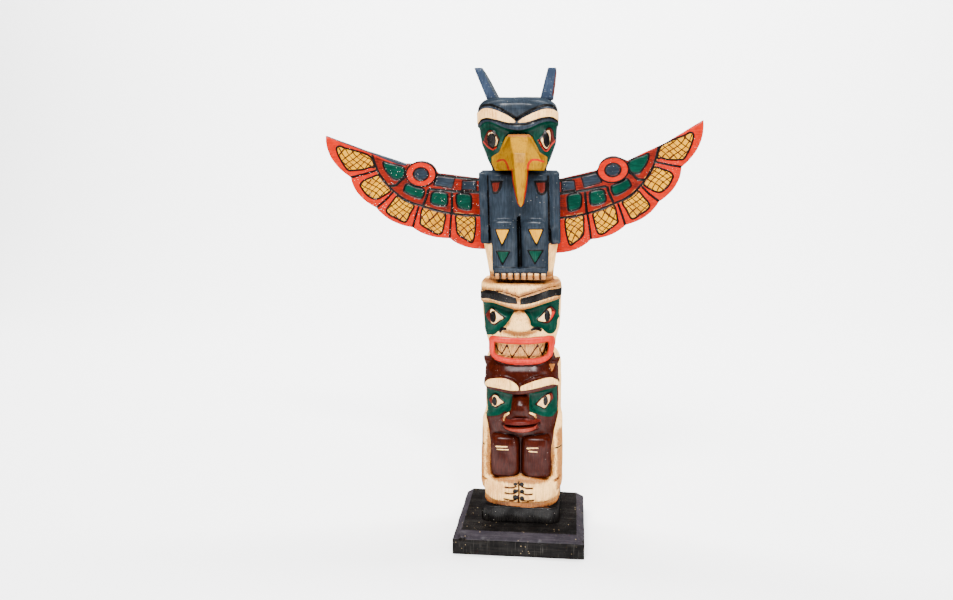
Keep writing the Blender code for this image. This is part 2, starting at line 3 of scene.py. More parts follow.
import bpy
import numpy as np
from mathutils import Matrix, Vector


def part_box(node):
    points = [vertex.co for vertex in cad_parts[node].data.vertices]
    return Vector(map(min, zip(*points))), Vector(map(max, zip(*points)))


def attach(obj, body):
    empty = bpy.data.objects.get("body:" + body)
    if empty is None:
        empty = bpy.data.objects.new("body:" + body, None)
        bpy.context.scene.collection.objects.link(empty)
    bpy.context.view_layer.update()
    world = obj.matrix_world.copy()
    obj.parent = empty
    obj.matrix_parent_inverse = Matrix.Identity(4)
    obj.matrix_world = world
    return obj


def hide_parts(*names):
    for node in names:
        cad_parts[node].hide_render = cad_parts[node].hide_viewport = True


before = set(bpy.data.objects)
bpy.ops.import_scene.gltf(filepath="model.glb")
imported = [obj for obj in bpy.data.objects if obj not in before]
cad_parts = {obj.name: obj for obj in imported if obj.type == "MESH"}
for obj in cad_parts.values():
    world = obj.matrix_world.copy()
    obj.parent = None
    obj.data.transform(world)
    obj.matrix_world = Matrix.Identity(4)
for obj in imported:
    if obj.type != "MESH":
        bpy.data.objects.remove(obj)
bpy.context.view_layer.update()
print("frame loaded")

# All carving is worked out in millimetres, in the frame's own axes: +Z up, the front is -Y.
# Left and right are the picture's.

def bendThrough(points, closed=True, cuts=4):
    # a smooth line through the points; a point given twice is a sharp corner
    ring = [np.array(p, float) for p in points]
    count = len(ring)
    line = []
    for k in range(count if closed else count - 1):
        if closed:
            before, start, end, after = (ring[(k + j) % count] for j in (-1, 0, 1, 2))
        else:
            before, start, end, after = (ring[min(max(k + j, 0), count - 1)] for j in (-1, 0, 1, 2))
        for t in np.arange(cuts) / cuts:
            line.append(0.5 * (2 * start + (end - before) * t
                               + (2 * before - 5 * start + 4 * end - after) * t ** 2
                               + (3 * start - before - 3 * end + after) * t ** 3))
    if not closed:
        line.append(ring[-1])
    return np.array(line)


def ringThrough(points):
    # a smooth closed line that ends where it starts
    line = bendThrough(points)
    return np.concatenate([line, line[:1]])


def turning(degrees):
    return math.cos(math.radians(degrees)), math.sin(math.radians(degrees))


def softStep(value, low, high):
    t = np.clip((value - low) / (high - low), 0, 1)
    return t * t * (3 - 2 * t)


class Sheet:
    # numbers over a flat area, worked out once on a fine grid and then read at any point
    def __init__(self, low, high, step):
        self.low = low
        self.step = step
        self.xs = np.arange(low[0], high[0], step)
        self.zs = np.arange(low[1], high[1], step)

    def blank(self, value):
        return np.full((len(self.xs), len(self.zs)), value, np.float32)

    def window(self, outline, margin):
        first = np.maximum(((outline.min(0) - margin - self.low) / self.step).astype(int), 0)
        last = ((outline.max(0) + margin - self.low) / self.step).astype(int) + 2
        part = (slice(first[0], max(last[0], 0)), slice(first[1], max(last[1], 0)))
        return part, *np.meshgrid(self.xs[part[0]], self.zs[part[1]], indexing="ij")

    def inside(self, *outlines, reach=7.0):
        # how far inside any of the closed outlines a point is, below nought outside them
        layer = self.blank(-reach)
        for outline in outlines:
            outline = np.array(outline, float)
            part, x, z = self.window(outline, reach)
            away = np.full(x.shape, 1e9)
            held = np.zeros(x.shape, bool)
            for a, b in zip(outline, np.roll(outline, -1, 0)):
                way = b - a
                size = way @ way
                if size < 1e-9:
                    continue
                t = np.clip(((x - a[0]) * way[0] + (z - a[1]) * way[1]) / size, 0, 1)
                away = np.minimum(away, (x - a[0] - t * way[0]) ** 2 + (z - a[1] - t * way[1]) ** 2)
                if a[1] != b[1]:
                    held ^= ((a[1] > z) != (b[1] > z)) & (x < a[0] + (z - a[1]) * way[0] / way[1])
            layer[part] = np.maximum(layer[part], np.sqrt(away) * np.where(held, 1, -1))
        return layer

    def near(self, *paths, reach=7.0):
        # how far a point is from the nearest of the open paths
        layer = self.blank(reach)
        for path in paths:
            path = np.array(path, float)
            part, x, z = self.window(path, reach)
            away = np.full(x.shape, reach ** 2)
            for a, b in zip(path, path[1:]):
                way = b - a
                t = np.clip(((x - a[0]) * way[0] + (z - a[1]) * way[1]) / max(way @ way, 1e-9), 0, 1)
                away = np.minimum(away, (x - a[0] - t * way[0]) ** 2 + (z - a[1] - t * way[1]) ** 2)
            layer[part] = np.minimum(layer[part], np.sqrt(away))
        return layer

    def read(self, layer, x, z):
        u = np.clip((x - self.low[0]) / self.step, 0, layer.shape[0] - 1.001)
        w = np.clip((z - self.low[1]) / self.step, 0, layer.shape[1] - 1.001)
        i, k = u.astype(int), w.astype(int)
        u, w = u - i, w - k
        return ((layer[i, k] * (1 - u) + layer[i + 1, k] * u) * (1 - w)
                + (layer[i, k + 1] * (1 - u) + layer[i + 1, k + 1] * u) * w)


# A solid form is a function that gives the distance in millimetres from its surface, below nought inside.
def softMost(a, b, k):
    h = np.clip(0.5 + 0.5 * (a - b) / k, 0, 1)
    return b + (a - b) * h + k * h * (1 - h)


def softLeast(a, b, k):
    return -softMost(-a, -b, k)


def skin(cells, xs, ys, zs):
    # the surface where the numbers of a grid of points pass through nought, as points and four-sided faces
    sign = cells < 0
    size = [n - 1 for n in cells.shape]
    total = np.zeros((*size, 3), np.float32)
    count = np.zeros(size, np.float32)
    for axis in range(3):
        others = [a for a in range(3) if a != axis]
        for shift in ((0, 0), (0, 1), (1, 0), (1, 1)):
            first = [slice(None, -1)] * 3
            for other, s in zip(others, shift):
                first[other] = slice(s, cells.shape[other] - 1 + s)
            second = list(first)
            second[axis] = slice(1, None)
            first, second = tuple(first), tuple(second)
            crosses = sign[first] != sign[second]
            a, b = cells[first][crosses], cells[second][crosses]
            total[..., axis][crosses] += a / (a - b)
            for other, s in zip(others, shift):
                total[..., other][crosses] += s
            count += crosses
    used = count > 0
    number = np.full(size, -1)
    number[used] = np.arange(used.sum())
    spots = np.argwhere(used) + total[used] / count[used][:, None]
    points = np.stack([np.interp(spots[:, k], np.arange(len(line)), line) for k, line in enumerate((xs, ys, zs))], 1)
    faces = []
    for axis in range(3):
        a, b = [k for k in range(3) if k != axis]
        inner = [slice(1, -1)] * 3
        inner[axis] = slice(None)
        lower = [slice(None)] * 3
        lower[axis] = slice(None, -1)
        upper = [slice(None)] * 3
        upper[axis] = slice(1, None)
        part = sign[tuple(inner)]
        crosses = part[tuple(lower)] != part[tuple(upper)]
        corners = []
        for da, db in ((0, 0), (1, 0), (1, 1), (0, 1)):
            cell = [slice(None)] * 3
            cell[a] = slice(da, size[a] - 1 + da)
            cell[b] = slice(db, size[b] - 1 + db)
            corners.append(number[tuple(cell)][crosses])
        found = np.stack(corners, 1)
        flip = part[tuple(lower)][crosses] ^ (axis == 1)
        found[~flip] = found[~flip][:, ::-1]
        faces.append(found)
    return points, np.concatenate(faces)


def slopes(points, field, step):
    value = field(*points.T)
    return value, np.stack([field(*(points + move).T) - value for move in np.eye(3) * step], 1) / step


def settle(points, field, rounds=2):
    # moves the points onto the true surface
    for _ in range(rounds):
        value, slope = slopes(points, field, 0.3)
        size = np.maximum((slope ** 2).sum(1), 0.05)
        points = points - slope * (np.clip(value, -0.9, 0.9) / size)[:, None]
    return points


def carve(field, xs, ys, zs, slab=60):
    # the points and faces of a solid form, worked out some layers at a time
    cells = np.empty((len(xs), len(ys), len(zs)), np.float32)
    for start in range(0, len(zs), slab):
        cells[:, :, start:start + slab] = field(*np.meshgrid(xs, ys, zs[start:start + slab], indexing="ij"))
    points, faces = skin(cells, xs, ys, zs)
    return settle(points, field), faces


def wear(points, field):
    # how deep in a hollow, how near a raised edge and how far turned to the front each point lies
    outwards, inwards = 3.5, 2.2
    value, slope = slopes(points, field, 0.4)
    steep = np.clip(np.sqrt((slope ** 2).sum(1)), 0.15, 2.0)
    way = slope / steep[:, None]
    hollow = 1 - (field(*(points + way * outwards).T) - value) / (outwards * steep)
    edge = 1 + (field(*(points - way * inwards).T) - value) / (inwards * steep)
    return {"hollow": np.clip(hollow, 0, 1.5), "edge": np.clip(edge, 0, 1), "front": softStep(-way[:, 1], 0.45, 0.98)}


paintReach = 4.0  # the paint's edges are known up to this far from them


class Painting:
    # how far inside each colour a point lies; a colour laid later covers the ones before it
    def __init__(self, names, count, ground=None):
        self.layers = {name: np.full(count, paintReach if name == ground else -paintReach) for name in names}

    def lay(self, name, inside):
        for other, layer in self.layers.items():
            if other == name:
                self.layers[other] = np.maximum(layer, inside)
            else:
                self.layers[other] = np.minimum(layer, -inside)

    def values(self):
        return {name: np.clip(layer, -paintReach, paintReach) for name, layer in self.layers.items()}


def newPiece(name, points, faces, values, material):
    mesh = bpy.data.meshes.new(name)
    mesh.from_pydata((points * 0.001).tolist(), [], faces.tolist())
    for label, numbers in values.items():
        mesh.attributes.new(label, "FLOAT", "POINT").data.foreach_set("value", numbers.astype(np.float32))
    mesh.materials.append(material)
    mesh.shade_smooth()
    piece = bpy.data.objects.new(name, mesh)
    bpy.context.collection.objects.link(piece)
    return piece


def handMade(x, y, z):
    # the slight unevenness that a knife leaves
    return (0.16 * np.sin(x / 4.1 + z / 6.3) * np.sin(z / 5.2 - y / 4.7 + 1.3)
            + 0.20 * np.sin(x / 9.7 - z / 13.1 + 0.7) * np.cos(z / 17.3 + y / 8.9))


logShape = {
    "halfWidth": 42.0,
    "halfDepth": 44.0,
    "setBack": 8.0,
    "bow": 8.6,
    "bottom": 23.9,
    "top": 467.0,
    "voxel": 1.36,
    # where each figure stands, its height and its turn in degrees
    "figures": {"foot": (23.9, 17.1, 0.0), "brown": (41.0, 156.0, 0.0), "toothed": (197.0, 82.0, 0.0),
                "body": (279.0, 113.0, 1.9), "head": (392.0, 75.0, 4.0)},
}


def bow(z):
    return -logShape["bow"] * ((z - logShape["bottom"]) / (logShape["top"] - logShape["bottom"])) ** 2


class Form:
    # one solid form of a figure; its sizes are shares of the log's half width and half depth
    def __init__(self, paint, figure, low, high, distance, blend=0.0):
        bottom, height, turn = logShape["figures"][figure]
        self.paint = paint
        self.turn = turning(turn)
        self.distance = distance
        self.blend = blend
        reach = 5.0 + 2.0 * (turn != 0)
        middle = bow(bottom + height / 2)
        self.low = (low[0] * logShape["halfWidth"] + middle - reach,
                    low[1] * logShape["halfDepth"] + logShape["setBack"] - reach, bottom + low[2] * height - 5)
        self.high = (high[0] * logShape["halfWidth"] + middle + reach,
                     high[1] * logShape["halfDepth"] + logShape["setBack"] + reach, bottom + high[2] * height + 5)

    def at(self, x, y, z):
        across = x - bow(z)
        deep = y - logShape["setBack"]
        c, s = self.turn
        return self.distance(across * c + deep * s, deep * c - across * s, z)

    def near(self, *place):
        return np.all([(low < v) & (v < high) for low, v, high in zip(self.low, place, self.high)], 0)


def trunk(paint, figure, levels, power, centre=0.0, blend=0.0, edge=1.6):
    # a length of log through levels of (z, half width, front, back)
    bottom, height = logShape["figures"][figure][:2]
    wide, deepest = logShape["halfWidth"], logShape["halfDepth"]
    rows = np.array(levels, float)
    zs = np.arange(bottom + rows[0, 0] * height, bottom + rows[-1, 0] * height, 0.5)
    kernel = np.array([1, 2, 3, 4, 3, 2, 1]) / 16

    def profile(column, scale):
        line = np.interp(zs, bottom + rows[:, 0] * height, rows[:, column] * scale)
        return np.convolve(np.pad(line, 3, "edge"), kernel, "valid")

    sides, fronts, backs = profile(1, wide), profile(2, deepest), profile(3, deepest)

    def distance(across, deep, z):
        side = np.interp(z, zs, sides)
        front = np.interp(z, zs, fronts)
        back = np.interp(z, zs, backs)
        reach = (back - front) / 2
        out = np.abs((across - centre * wide) / side) ** power + np.abs((deep - (front + back) / 2) / reach) ** power
        return softMost((out ** (1 / power) - 1) * np.minimum(side, reach), np.maximum(zs[0] - z, z - zs[-1]), edge)

    most = rows[:, 1].max()
    return Form(paint, figure, (centre - most, rows[:, 2].min(), rows[0, 0]),
                (centre + most, rows[:, 3].max(), rows[-1, 0]), distance, blend)


def pillow(paint, figure, centre, side, front, back, low, high, edge, power=5, blend=0.0):
    drop = edge * (high - low)
    levels = [(low, 0.90, 0.96), (low + drop * 0.6, 1, 1), (high - drop, 1, 1), (high - drop * 0.35, 0.95, 0.97),
              (high, 0.82, 0.90)]
    return trunk(paint, figure, [(z, side * wide, front * far, back) for z, wide, far in levels], power, centre, blend,
                 3.0)


def dome(paint, figure, centre, radii, blend=2.0):
    bottom, height = logShape["figures"][figure][:2]
    scale = (logShape["halfWidth"], logShape["halfDepth"], height)
    middle = [c * s + low for c, s, low in zip(centre, scale, (0, 0, bottom))]
    size = [r * s for r, s in zip(radii, scale)]

    def distance(*place):
        return (np.sqrt(sum(((v - m) / s) ** 2 for v, m, s in zip(place, middle, size))) - 1) * min(size)

    return Form(paint, figure, [c - r for c, r in zip(centre, radii)], [c + r for c, r in zip(centre, radii)],
                distance, blend)


frontSheet = Sheet((-52.0, 20.0), (52.0, 472.0), 0.4)


def patch(paint, figure, outline, side, front, back, power, edge=2.0):
    # the part of a log-shaped form that lies behind an outline seen from the front
    layer = frontSheet.inside(outline, reach=9.0)
    bottom, height, turn = logShape["figures"][figure]
    wide, deepest = side * logShape["halfWidth"], logShape["halfDepth"]
    reach = (back - front) / 2 * deepest
    c, s = turning(turn)

    def distance(across, deep, z):
        out = np.abs(across / wide) ** power + np.abs((deep - (front + back) / 2 * deepest) / reach) ** power
        behind = frontSheet.read(layer, across * c - deep * s, z)
        return softMost((out ** (1 / power) - 1) * min(wide, reach), -behind + 0.25 * np.maximum(deep + 8.0, 0), edge)

    outline = np.array(outline)
    return Form(paint, figure, (-side, front, (outline[:, 1].min() - bottom) / height),
                (side, back, (outline[:, 1].max() - bottom) / height), distance)


# Outlines measured on the carving: x from the log's bowed axis and z, seen from the front
brownFace = {
    "browTop": [(-48, 170), (-38.8, 174), (-32.9, 178.4), (-25.6, 181.5), (-15.3, 181.3), (-6.6, 178.4), (-0.4, 174.2),
                (5.2, 178), (14.4, 182.2), (24.1, 183.3), (33.2, 180.7), (39, 174.3), (48, 170)],
    "browFoot": [(48, 171), (38.4, 169.2), (24.1, 167.3), (11.1, 164.6), (-0.2, 162.4), (-12.1, 163.9), (-25.8, 165.7),
                 (-38.6, 166.1), (-48, 166)],
    "leafLeft": [(-38.6, 170.4), (-34.4, 175.9), (-27.1, 179.1), (-17.3, 180.1), (-8.6, 177.6), (-2.7, 173.1),
                 (-1.1, 167.8), (-1.1, 167.8), (-8.7, 167.5), (-18.8, 168.7), (-27.2, 169.2), (-37, 168.8)],
    "leafRight": [(0.6, 167.8), (0.6, 171.9), (4.5, 174), (11.1, 176.8), (19.6, 179.5), (27.4, 180.9), (33.2, 180.1),
                  (38.4, 174.7), (40, 169.5), (33.8, 173.1), (24.1, 172), (14.4, 169.9), (6.5, 168.3), (0.6, 167.8)],
    "socketLeft": [(-48, 165), (-38.5, 165.5), (-25.8, 165.5), (-10, 163), (-8.6, 160), (-8.9, 154.9), (-10, 147.3),
                   (-16.1, 143.9), (-23.1, 139.2), (-30.6, 136.5), (-38.5, 133.5), (-48, 134)],
    "socketRight": [(48, 168), (38.4, 168.6), (24.1, 167), (10, 164), (9.4, 160), (10, 147.1), (14.1, 145),
                    (19.3, 141.2), (27.1, 138.5), (33.6, 137.8), (38.1, 140.8), (48, 141)],
    "eyeLeft": [(-35.9, 151.8), (-35.9, 151.8), (-30.3, 158.4), (-25.2, 160.8), (-21.2, 156.2), (-15.3, 152.3),
                (-15.3, 152.3), (-21.3, 149.1), (-26, 145.5), (-31.4, 147.6)],
    "eyeRight": [(14.5, 151.2), (14.5, 151.2), (20.9, 157.8), (26.7, 161.9), (32.6, 162.4), (34.6, 155.4),
                 (34.6, 155.4), (28.6, 149.8), (25.2, 145.9), (19.9, 148.6)],
    "whiteLeft": [(-29.8, 157.4), (-25.4, 159.2), (-22.2, 155.6), (-18, 152.6), (-22, 150.4), (-26.2, 147.5),
                  (-30.2, 148.6)],
    "whiteRight": [(17.4, 151.6), (22, 157), (26.7, 160.5), (30.4, 160.6), (30.2, 154.4), (27.4, 149.6),
                   (24.8, 147.6), (20.8, 149.6)],
    "pupilLeft": (-27.5, 152.9, 2.9, 5.0),
    "pupilRight": (26.1, 155.0, 2.6, 5.2),
    "nostrils": [[(-17.4, 134.6), (-16.4, 139.6), (-11.6, 144.4)], [(10.2, 145.4), (14.9, 142.6), (16.4, 138.4)]],
    "upperLip": [(-19.4, 130.5), (-19.4, 130.5), (-12, 136.5), (-0.2, 139.4), (11.1, 138), (20.7, 133.2), (20.7, 133.2),
                 (10, 131.6), (0, 130.2), (-10, 130.2)],
    "lowerLip": [(-18.6, 129.9), (-18.6, 129.9), (-9, 131), (0, 131.4), (10, 132.2), (19.8, 132.4), (19.8, 132.4),
                 (11.1, 125.3), (-0.2, 123.2), (-12.1, 125.5)],
    "dashes": [[(-25.6, 106.9), (-13, 107.4)], [(-25, 103.6), (-12.4, 103.8)], [(7, 106), (18.6, 107)],
               [(9, 103), (18.4, 102.2)]],
    "ear": [(41.4, 197.6), (27.7, 194.6), (33.6, 180.6)],
    "earInset": [(28.1, 194.5), (28.1, 194.5), (37.1, 192.7), (37.1, 192.7), (32.4, 183), (32.4, 183)],
    "forearms": [(-50, 66), (-42, 66.5), (-30, 70), (-18, 73), (0, 74.5), (18, 73), (30, 70), (42, 66.5), (50, 66),
                 (50, 60), (40, 56.2), (30, 48.6), (15, 46.4), (0, 46.6), (-19, 46.2), (-30.9, 47.4), (-40.4, 56.2),
                 (-50, 60)],
    "fingers": [[(-15.9, 62.8), (-9, 62.4), (-4, 64.4)], [(-15.9, 56.6), (-9, 55.8), (-4, 57.6)],
                [(-17.2, 49.8), (-9, 48.6), (-4, 50)], [(2, 64.2), (7, 62.6), (13.2, 62.8)],
                [(2, 57.4), (7, 55.8), (13.4, 56.6)], [(2, 49.6), (7, 48.4), (14.6, 49.8)]],
    "betweenHands": [(-1.5, 70), (-1.2, 60), (-1.6, 46)],
    "nails": [(-4.9, 67.1, 2.4, 1.7), (-4.8, 59.4, 2.6, 2.3), (-4.9, 52.6, 2.7, 2.6), (1.9, 67, 2.3, 2.4),
              (2.2, 59.2, 2.3, 2.4), (2.2, 51.4, 2.4, 2.9)],
    "armMarks": [[(-44.5, 104), (-39.6, 103.2)], [(36.4, 101.6), (42.6, 103)]],
    "armCreases": [[(-44, 70), (-34, 66)], [(41, 71), (33, 67)]],
    "betweenLips": [(-19, 130.3), (0, 130.8), (20, 132.6)],
    "footLine": [(-46, 43), (-19.1, 42.8), (0, 42.4), (21.4, 42.4), (46, 43)],
}
toothedFace = {
    "browTop": [(-48, 268.5), (-41.3, 270.1), (-21.5, 271.6), (-6.9, 267.9), (-0.1, 265.9), (-0.1, 265.9),
                (10.9, 269.6), (21.6, 273), (32.1, 275.7), (40.4, 274.8), (48, 274.4)],
    "browFoot": [(48, 264), (38.9, 262.2), (28.5, 260.2), (17.8, 256.5), (7.2, 253.7), (0, 252.1), (-7.2, 253.4),
                 (-18, 256.6), (-29.4, 259.1), (-40.3, 256.8), (-48, 256)],
    "blackLeft": [(-48, 267), (-42.3, 268.4), (-29.2, 271.5), (-17.8, 269.6), (-7, 266.5), (-2.7, 264.8), (-2.7, 264.8),
                  (-1.5, 258.8), (-1.5, 258.8), (-7.1, 258.9), (-15.8, 260), (-25.4, 261.8), (-34.2, 262.6),
                  (-42.4, 260.1), (-48, 259)],
    "blackRight": [(0.9, 264.9), (0.9, 264.9), (10.9, 267.4), (21.6, 270.8), (30.7, 273.4), (41.1, 272.8), (48, 272),
                   (48, 265), (41, 264.9), (35.5, 265.7), (25, 263.4), (14.3, 260.2), (7.2, 258.8), (1, 258.2),
                   (1, 258.2)],
    "socketLeft": [(-48, 255), (-40.3, 256.4), (-29.4, 258.4), (-18, 256), (-9, 253), (-5.6, 250.6), (-7.7, 246.6),
                   (-10.7, 241.3), (-15.1, 235.9), (-20.5, 231.7), (-25.2, 226.5), (-31.1, 224.3), (-36.5, 222.3),
                   (-39.4, 227.7), (-48, 228)],
    "socketRight": [(4.7, 251.6), (12, 253.8), (17.8, 255.8), (28.5, 259.4), (38.9, 261.6), (48, 262), (48, 241),
                    (39.3, 240.6), (37.7, 231.5), (34.9, 226.7), (30.8, 226.4), (26.6, 228.8), (21, 234),
                    (12.4, 236.6), (11, 241), (8.9, 246.1)],
    "eyeLeft": [(-38.3, 242.6), (-38.3, 242.6), (-33.6, 249), (-28.6, 252.4), (-21.4, 247.3), (-14.2, 242.7),
                (-14.2, 242.7), (-21.2, 238.6), (-26.4, 234.2), (-32.6, 236.6)],
    "eyeRight": [(16.4, 241.2), (16.4, 241.2), (21.3, 245.8), (26.4, 252), (32.2, 254.9), (37.4, 248.6), (37.4, 248.6),
                 (34.7, 243.2), (30.2, 237.4), (24, 237.8)],
    "whiteLeft": [(-31, 249.6), (-28, 250.6), (-21.6, 246), (-17, 242.6), (-21.3, 239.8), (-26.8, 236.2),
                  (-30.6, 237.8)],
    "whiteRight": [(18.3, 241.3), (22.3, 245.2), (27.3, 250.9), (31.4, 252.6), (32.2, 246.4), (30.7, 240.6),
                   (25.2, 239.2)],
    "pupilLeft": (-28, 243.3, 3.5, 6.2),
    "pupilRight": (28.2, 245.4, 3.1, 6.2),
    "blushRight": [(32.6, 249.6), (35.6, 248), (33.2, 242.4), (30.6, 240.4), (31.8, 245)],
    "nostrils": [[(-20.2, 229.4), (-17.8, 232.9), (-14.2, 233.5)], [(12.7, 233.3), (17.2, 234.1), (21.5, 231.4)]],
    "lips": [(-29.5, 214), (-29.8, 208), (-27.6, 202.6), (-19, 199), (-8, 197.6), (0, 197.4), (10, 197.8), (21, 199),
             (29.4, 202.8), (31.9, 208.6), (32.4, 216), (30.6, 221.8), (21, 221.6), (10, 220.6), (0, 220.4),
             (-12, 220.6), (-22, 221.2), (-28.4, 220.6)],
    "teeth": [(-25.4, 214), (-23.4, 209), (-19.5, 204.6), (-16.4, 210), (-13.3, 215.6), (-11, 208), (-8.4, 201.2),
              (-4, 208.6), (0.5, 215.8), (5, 208.4), (9.4, 201.6), (14, 208.8), (18.4, 216), (20.6, 210),
              (23.2, 204), (25.4, 210), (27.6, 215)],
    "nose": [(-9.5, 249), (-11, 243), (-13, 237), (-17.6, 233.6), (-13, 229.6), (0, 228), (13, 229.6), (18, 233.6),
             (13, 238), (11, 244), (9.5, 249), (0, 252)],
    "toothBits": [[(-19.6, 215.6), (-17.8, 211.4)], [(23.4, 216), (22, 212.4)]],
    "crownLine": [(-46, 284.6), (0, 284.9), (46, 285.2)],
}
birdHead = {
    "browTop": [(-48, 452), (-39.4, 453.3), (-34.9, 456.1), (-28.1, 457), (-23.2, 456.5), (-16.4, 453.7),
                (-9.8, 450.3), (-3.2, 446.6), (1.2, 443.2), (1.2, 443.2), (7.4, 447.3), (13.4, 450.3), (20.7, 453.6),
                (26.5, 455.7), (32.3, 456.6), (37.5, 455.6), (40.5, 453.3), (48, 452)],
    "browFoot": [(48, 434), (40.2, 437.3), (37.8, 440.3), (32.6, 441), (26.1, 439.6), (19.6, 436.9), (12.9, 434),
                 (7.7, 432.3), (2.3, 431.6), (-3.6, 432.6), (-10.2, 434.3), (-16.9, 437), (-22.4, 439.7),
                 (-28.7, 440.9), (-34, 439.4), (-37.8, 436.6), (-48, 433)],
    "leafLine": [(-48, 438), (-39, 440.2), (-35.4, 443.2), (-30, 444.7), (-23.6, 443.8), (-16.8, 441.7), (-8.8, 439.6),
                 (-2.2, 438.6), (1.1, 438.3), (9.8, 438.9), (16.4, 440.9), (23, 443.3), (29.6, 445.1), (34.7, 445.7),
                 (38.5, 444.4), (48, 439)],
    "leafLeft": [(-48, 451), (-39, 451.6), (-34, 454.2), (-28, 455), (-19.9, 453.1), (-13.5, 450.5), (-7, 447.2),
                 (-1.3, 443.4), (0.6, 440.4), (0.6, 440.4), (-4.4, 440.6), (-10.1, 441.3), (-17.4, 443.4),
                 (-24.6, 444.8), (-30.4, 445.6), (-36.4, 443.2), (-39.6, 440.9), (-48, 440)],
    "leafRight": [(1.9, 440.4), (1.9, 440.4), (3.4, 442.1), (7.4, 445), (13.3, 448), (20.5, 451.2), (29.2, 454),
                  (36.5, 453.9), (41.6, 452.2), (48, 451), (48, 440), (40, 444.4), (37, 446), (32, 446.6),
                  (24.7, 445.4), (17.5, 443), (10.2, 441)],
    "socket": [(-48, 437), (-37.8, 437.4), (-34, 440.4), (-28.7, 441.9), (-22.4, 440.7), (-10.2, 435.3), (2.3, 433),
               (12.9, 435), (26.1, 440.6), (32.6, 442), (37.8, 441.3), (48, 438), (48, 417), (39, 411), (30, 401.6),
               (18, 400), (-14, 400), (-28, 402), (-38, 411), (-48, 416)],
    "eyeLeft": [(-35.4, 422.6), (-35.4, 422.6), (-32.4, 428.6), (-28.5, 433.5), (-23.3, 433.4), (-19.4, 429),
                (-16.9, 424.2), (-16.9, 424.2), (-20.5, 417), (-24.7, 414.4), (-28.6, 416.3), (-31.4, 418.4)],
    "eyeRight": [(21.6, 423.8), (21.6, 423.8), (25, 427.8), (27.6, 432), (30.1, 435), (33.4, 436.4), (36.5, 433.2),
                 (37.2, 427.6), (38.8, 423.8), (38.8, 423.8), (35.5, 420.6), (32, 415.6), (29.2, 412.6), (25.8, 415.8)],
    "whiteLeft": [(-27.7, 431.2), (-23.4, 431.2), (-20.2, 427), (-18.9, 423.2), (-20.6, 418.8), (-24.3, 416.8),
                  (-27.4, 418.6), (-29.4, 423.9), (-29.2, 428.2)],
    "whiteRight": [(24.4, 423.8), (26.7, 427.6), (29.3, 431.9), (32.3, 433.7), (33.6, 430.4), (33.6, 424.5),
                   (32.2, 418.4), (29.5, 415.2), (26.6, 418), (25.2, 420.9)],
    "pupilLeft": (-25.3, 423.6, 4.7, 7.2),
    "pupilRight": (29.8, 424.4, 3.3, 7.9),
}
birdBody = {
    "marks": [[(-27, 383.2), (-27, 383.2), (-15, 383.2), (-15, 383.2), (-16, 378), (-18.2, 373.2), (-21.2, 370.5),
               (-25, 371), (-25.4, 375)],
              [(16.9, 383.3), (16.9, 383.3), (29.2, 383.3), (29.2, 383.3), (29.2, 375.4), (28.2, 371.6), (25, 369.2),
               (20.6, 371), (18.4, 376.7)]],
    "markFills": [[(-25.7, 381.4), (-25.7, 381.4), (-18.4, 381.4), (-18.4, 381.4), (-19.1, 376.5), (-20.9, 372.9),
                   (-24.3, 372.7), (-25, 376.5)],
                  [(18.9, 381.5), (18.9, 381.5), (27.7, 381.6), (27.7, 381.6), (27.6, 375.4), (26.1, 371.8),
                   (22.8, 371.6), (20.5, 375.2)]],
    "ochre": [[(-23.4, 334.9), (-8.5, 335), (-16.7, 317.5)], [(10, 335.2), (25.5, 335.3), (18.2, 318.3)]],
    "green": [[(-22.8, 312.5), (-8.6, 312.6), (-16.7, 298.2)], [(9.2, 313.5), (24.9, 313.7), (16.2, 299.4)]],
    "stripLines": [[(-30.6, 388), (-30.8, 322)], [(30.8, 388), (31, 322)]],
    "betweenLegs": [(0.4, 346), (0.6, 320), (0.6, 296)],
    "clawRow": [(-27.8, 283.6), (27.8, 283.6), (27.8, 290.8), (-27.8, 290.8)],
}

# where the brown stain gathers
grimeLines = [
    toothedFace["browTop"], toothedFace["browFoot"][::-1], [(-46, 281), (0, 281), (46, 281)],
    [(-11, 250), (-13, 240), (-17, 234), (-8, 229), (0, 228), (8, 229), (17, 235), (13, 242), (11, 250)],
    [(-40, 222), (-36, 208), (-30, 198)], [(42, 222), (38, 208), (32, 198)],
    [(-33, 122), (-34, 100), (-34, 80), (-30, 73), (0, 71), (28, 73), (32, 80), (32, 100), (30, 122)],
    [(-46, 45), (-20, 45), (0, 44.5), (20, 45), (46, 45)],
    [(-40, 286), (40, 286)], [(-44, 118), (-42, 80), (-42, 60)], [(41, 118), (41, 80), (41, 60)],
]


def ellipse(centreX, centreZ, halfX, halfZ, count=20):
    turn = np.arange(count) * 2 * math.pi / count
    return np.stack([centreX + halfX * np.cos(turn), centreZ + halfZ * np.sin(turn)], 1)


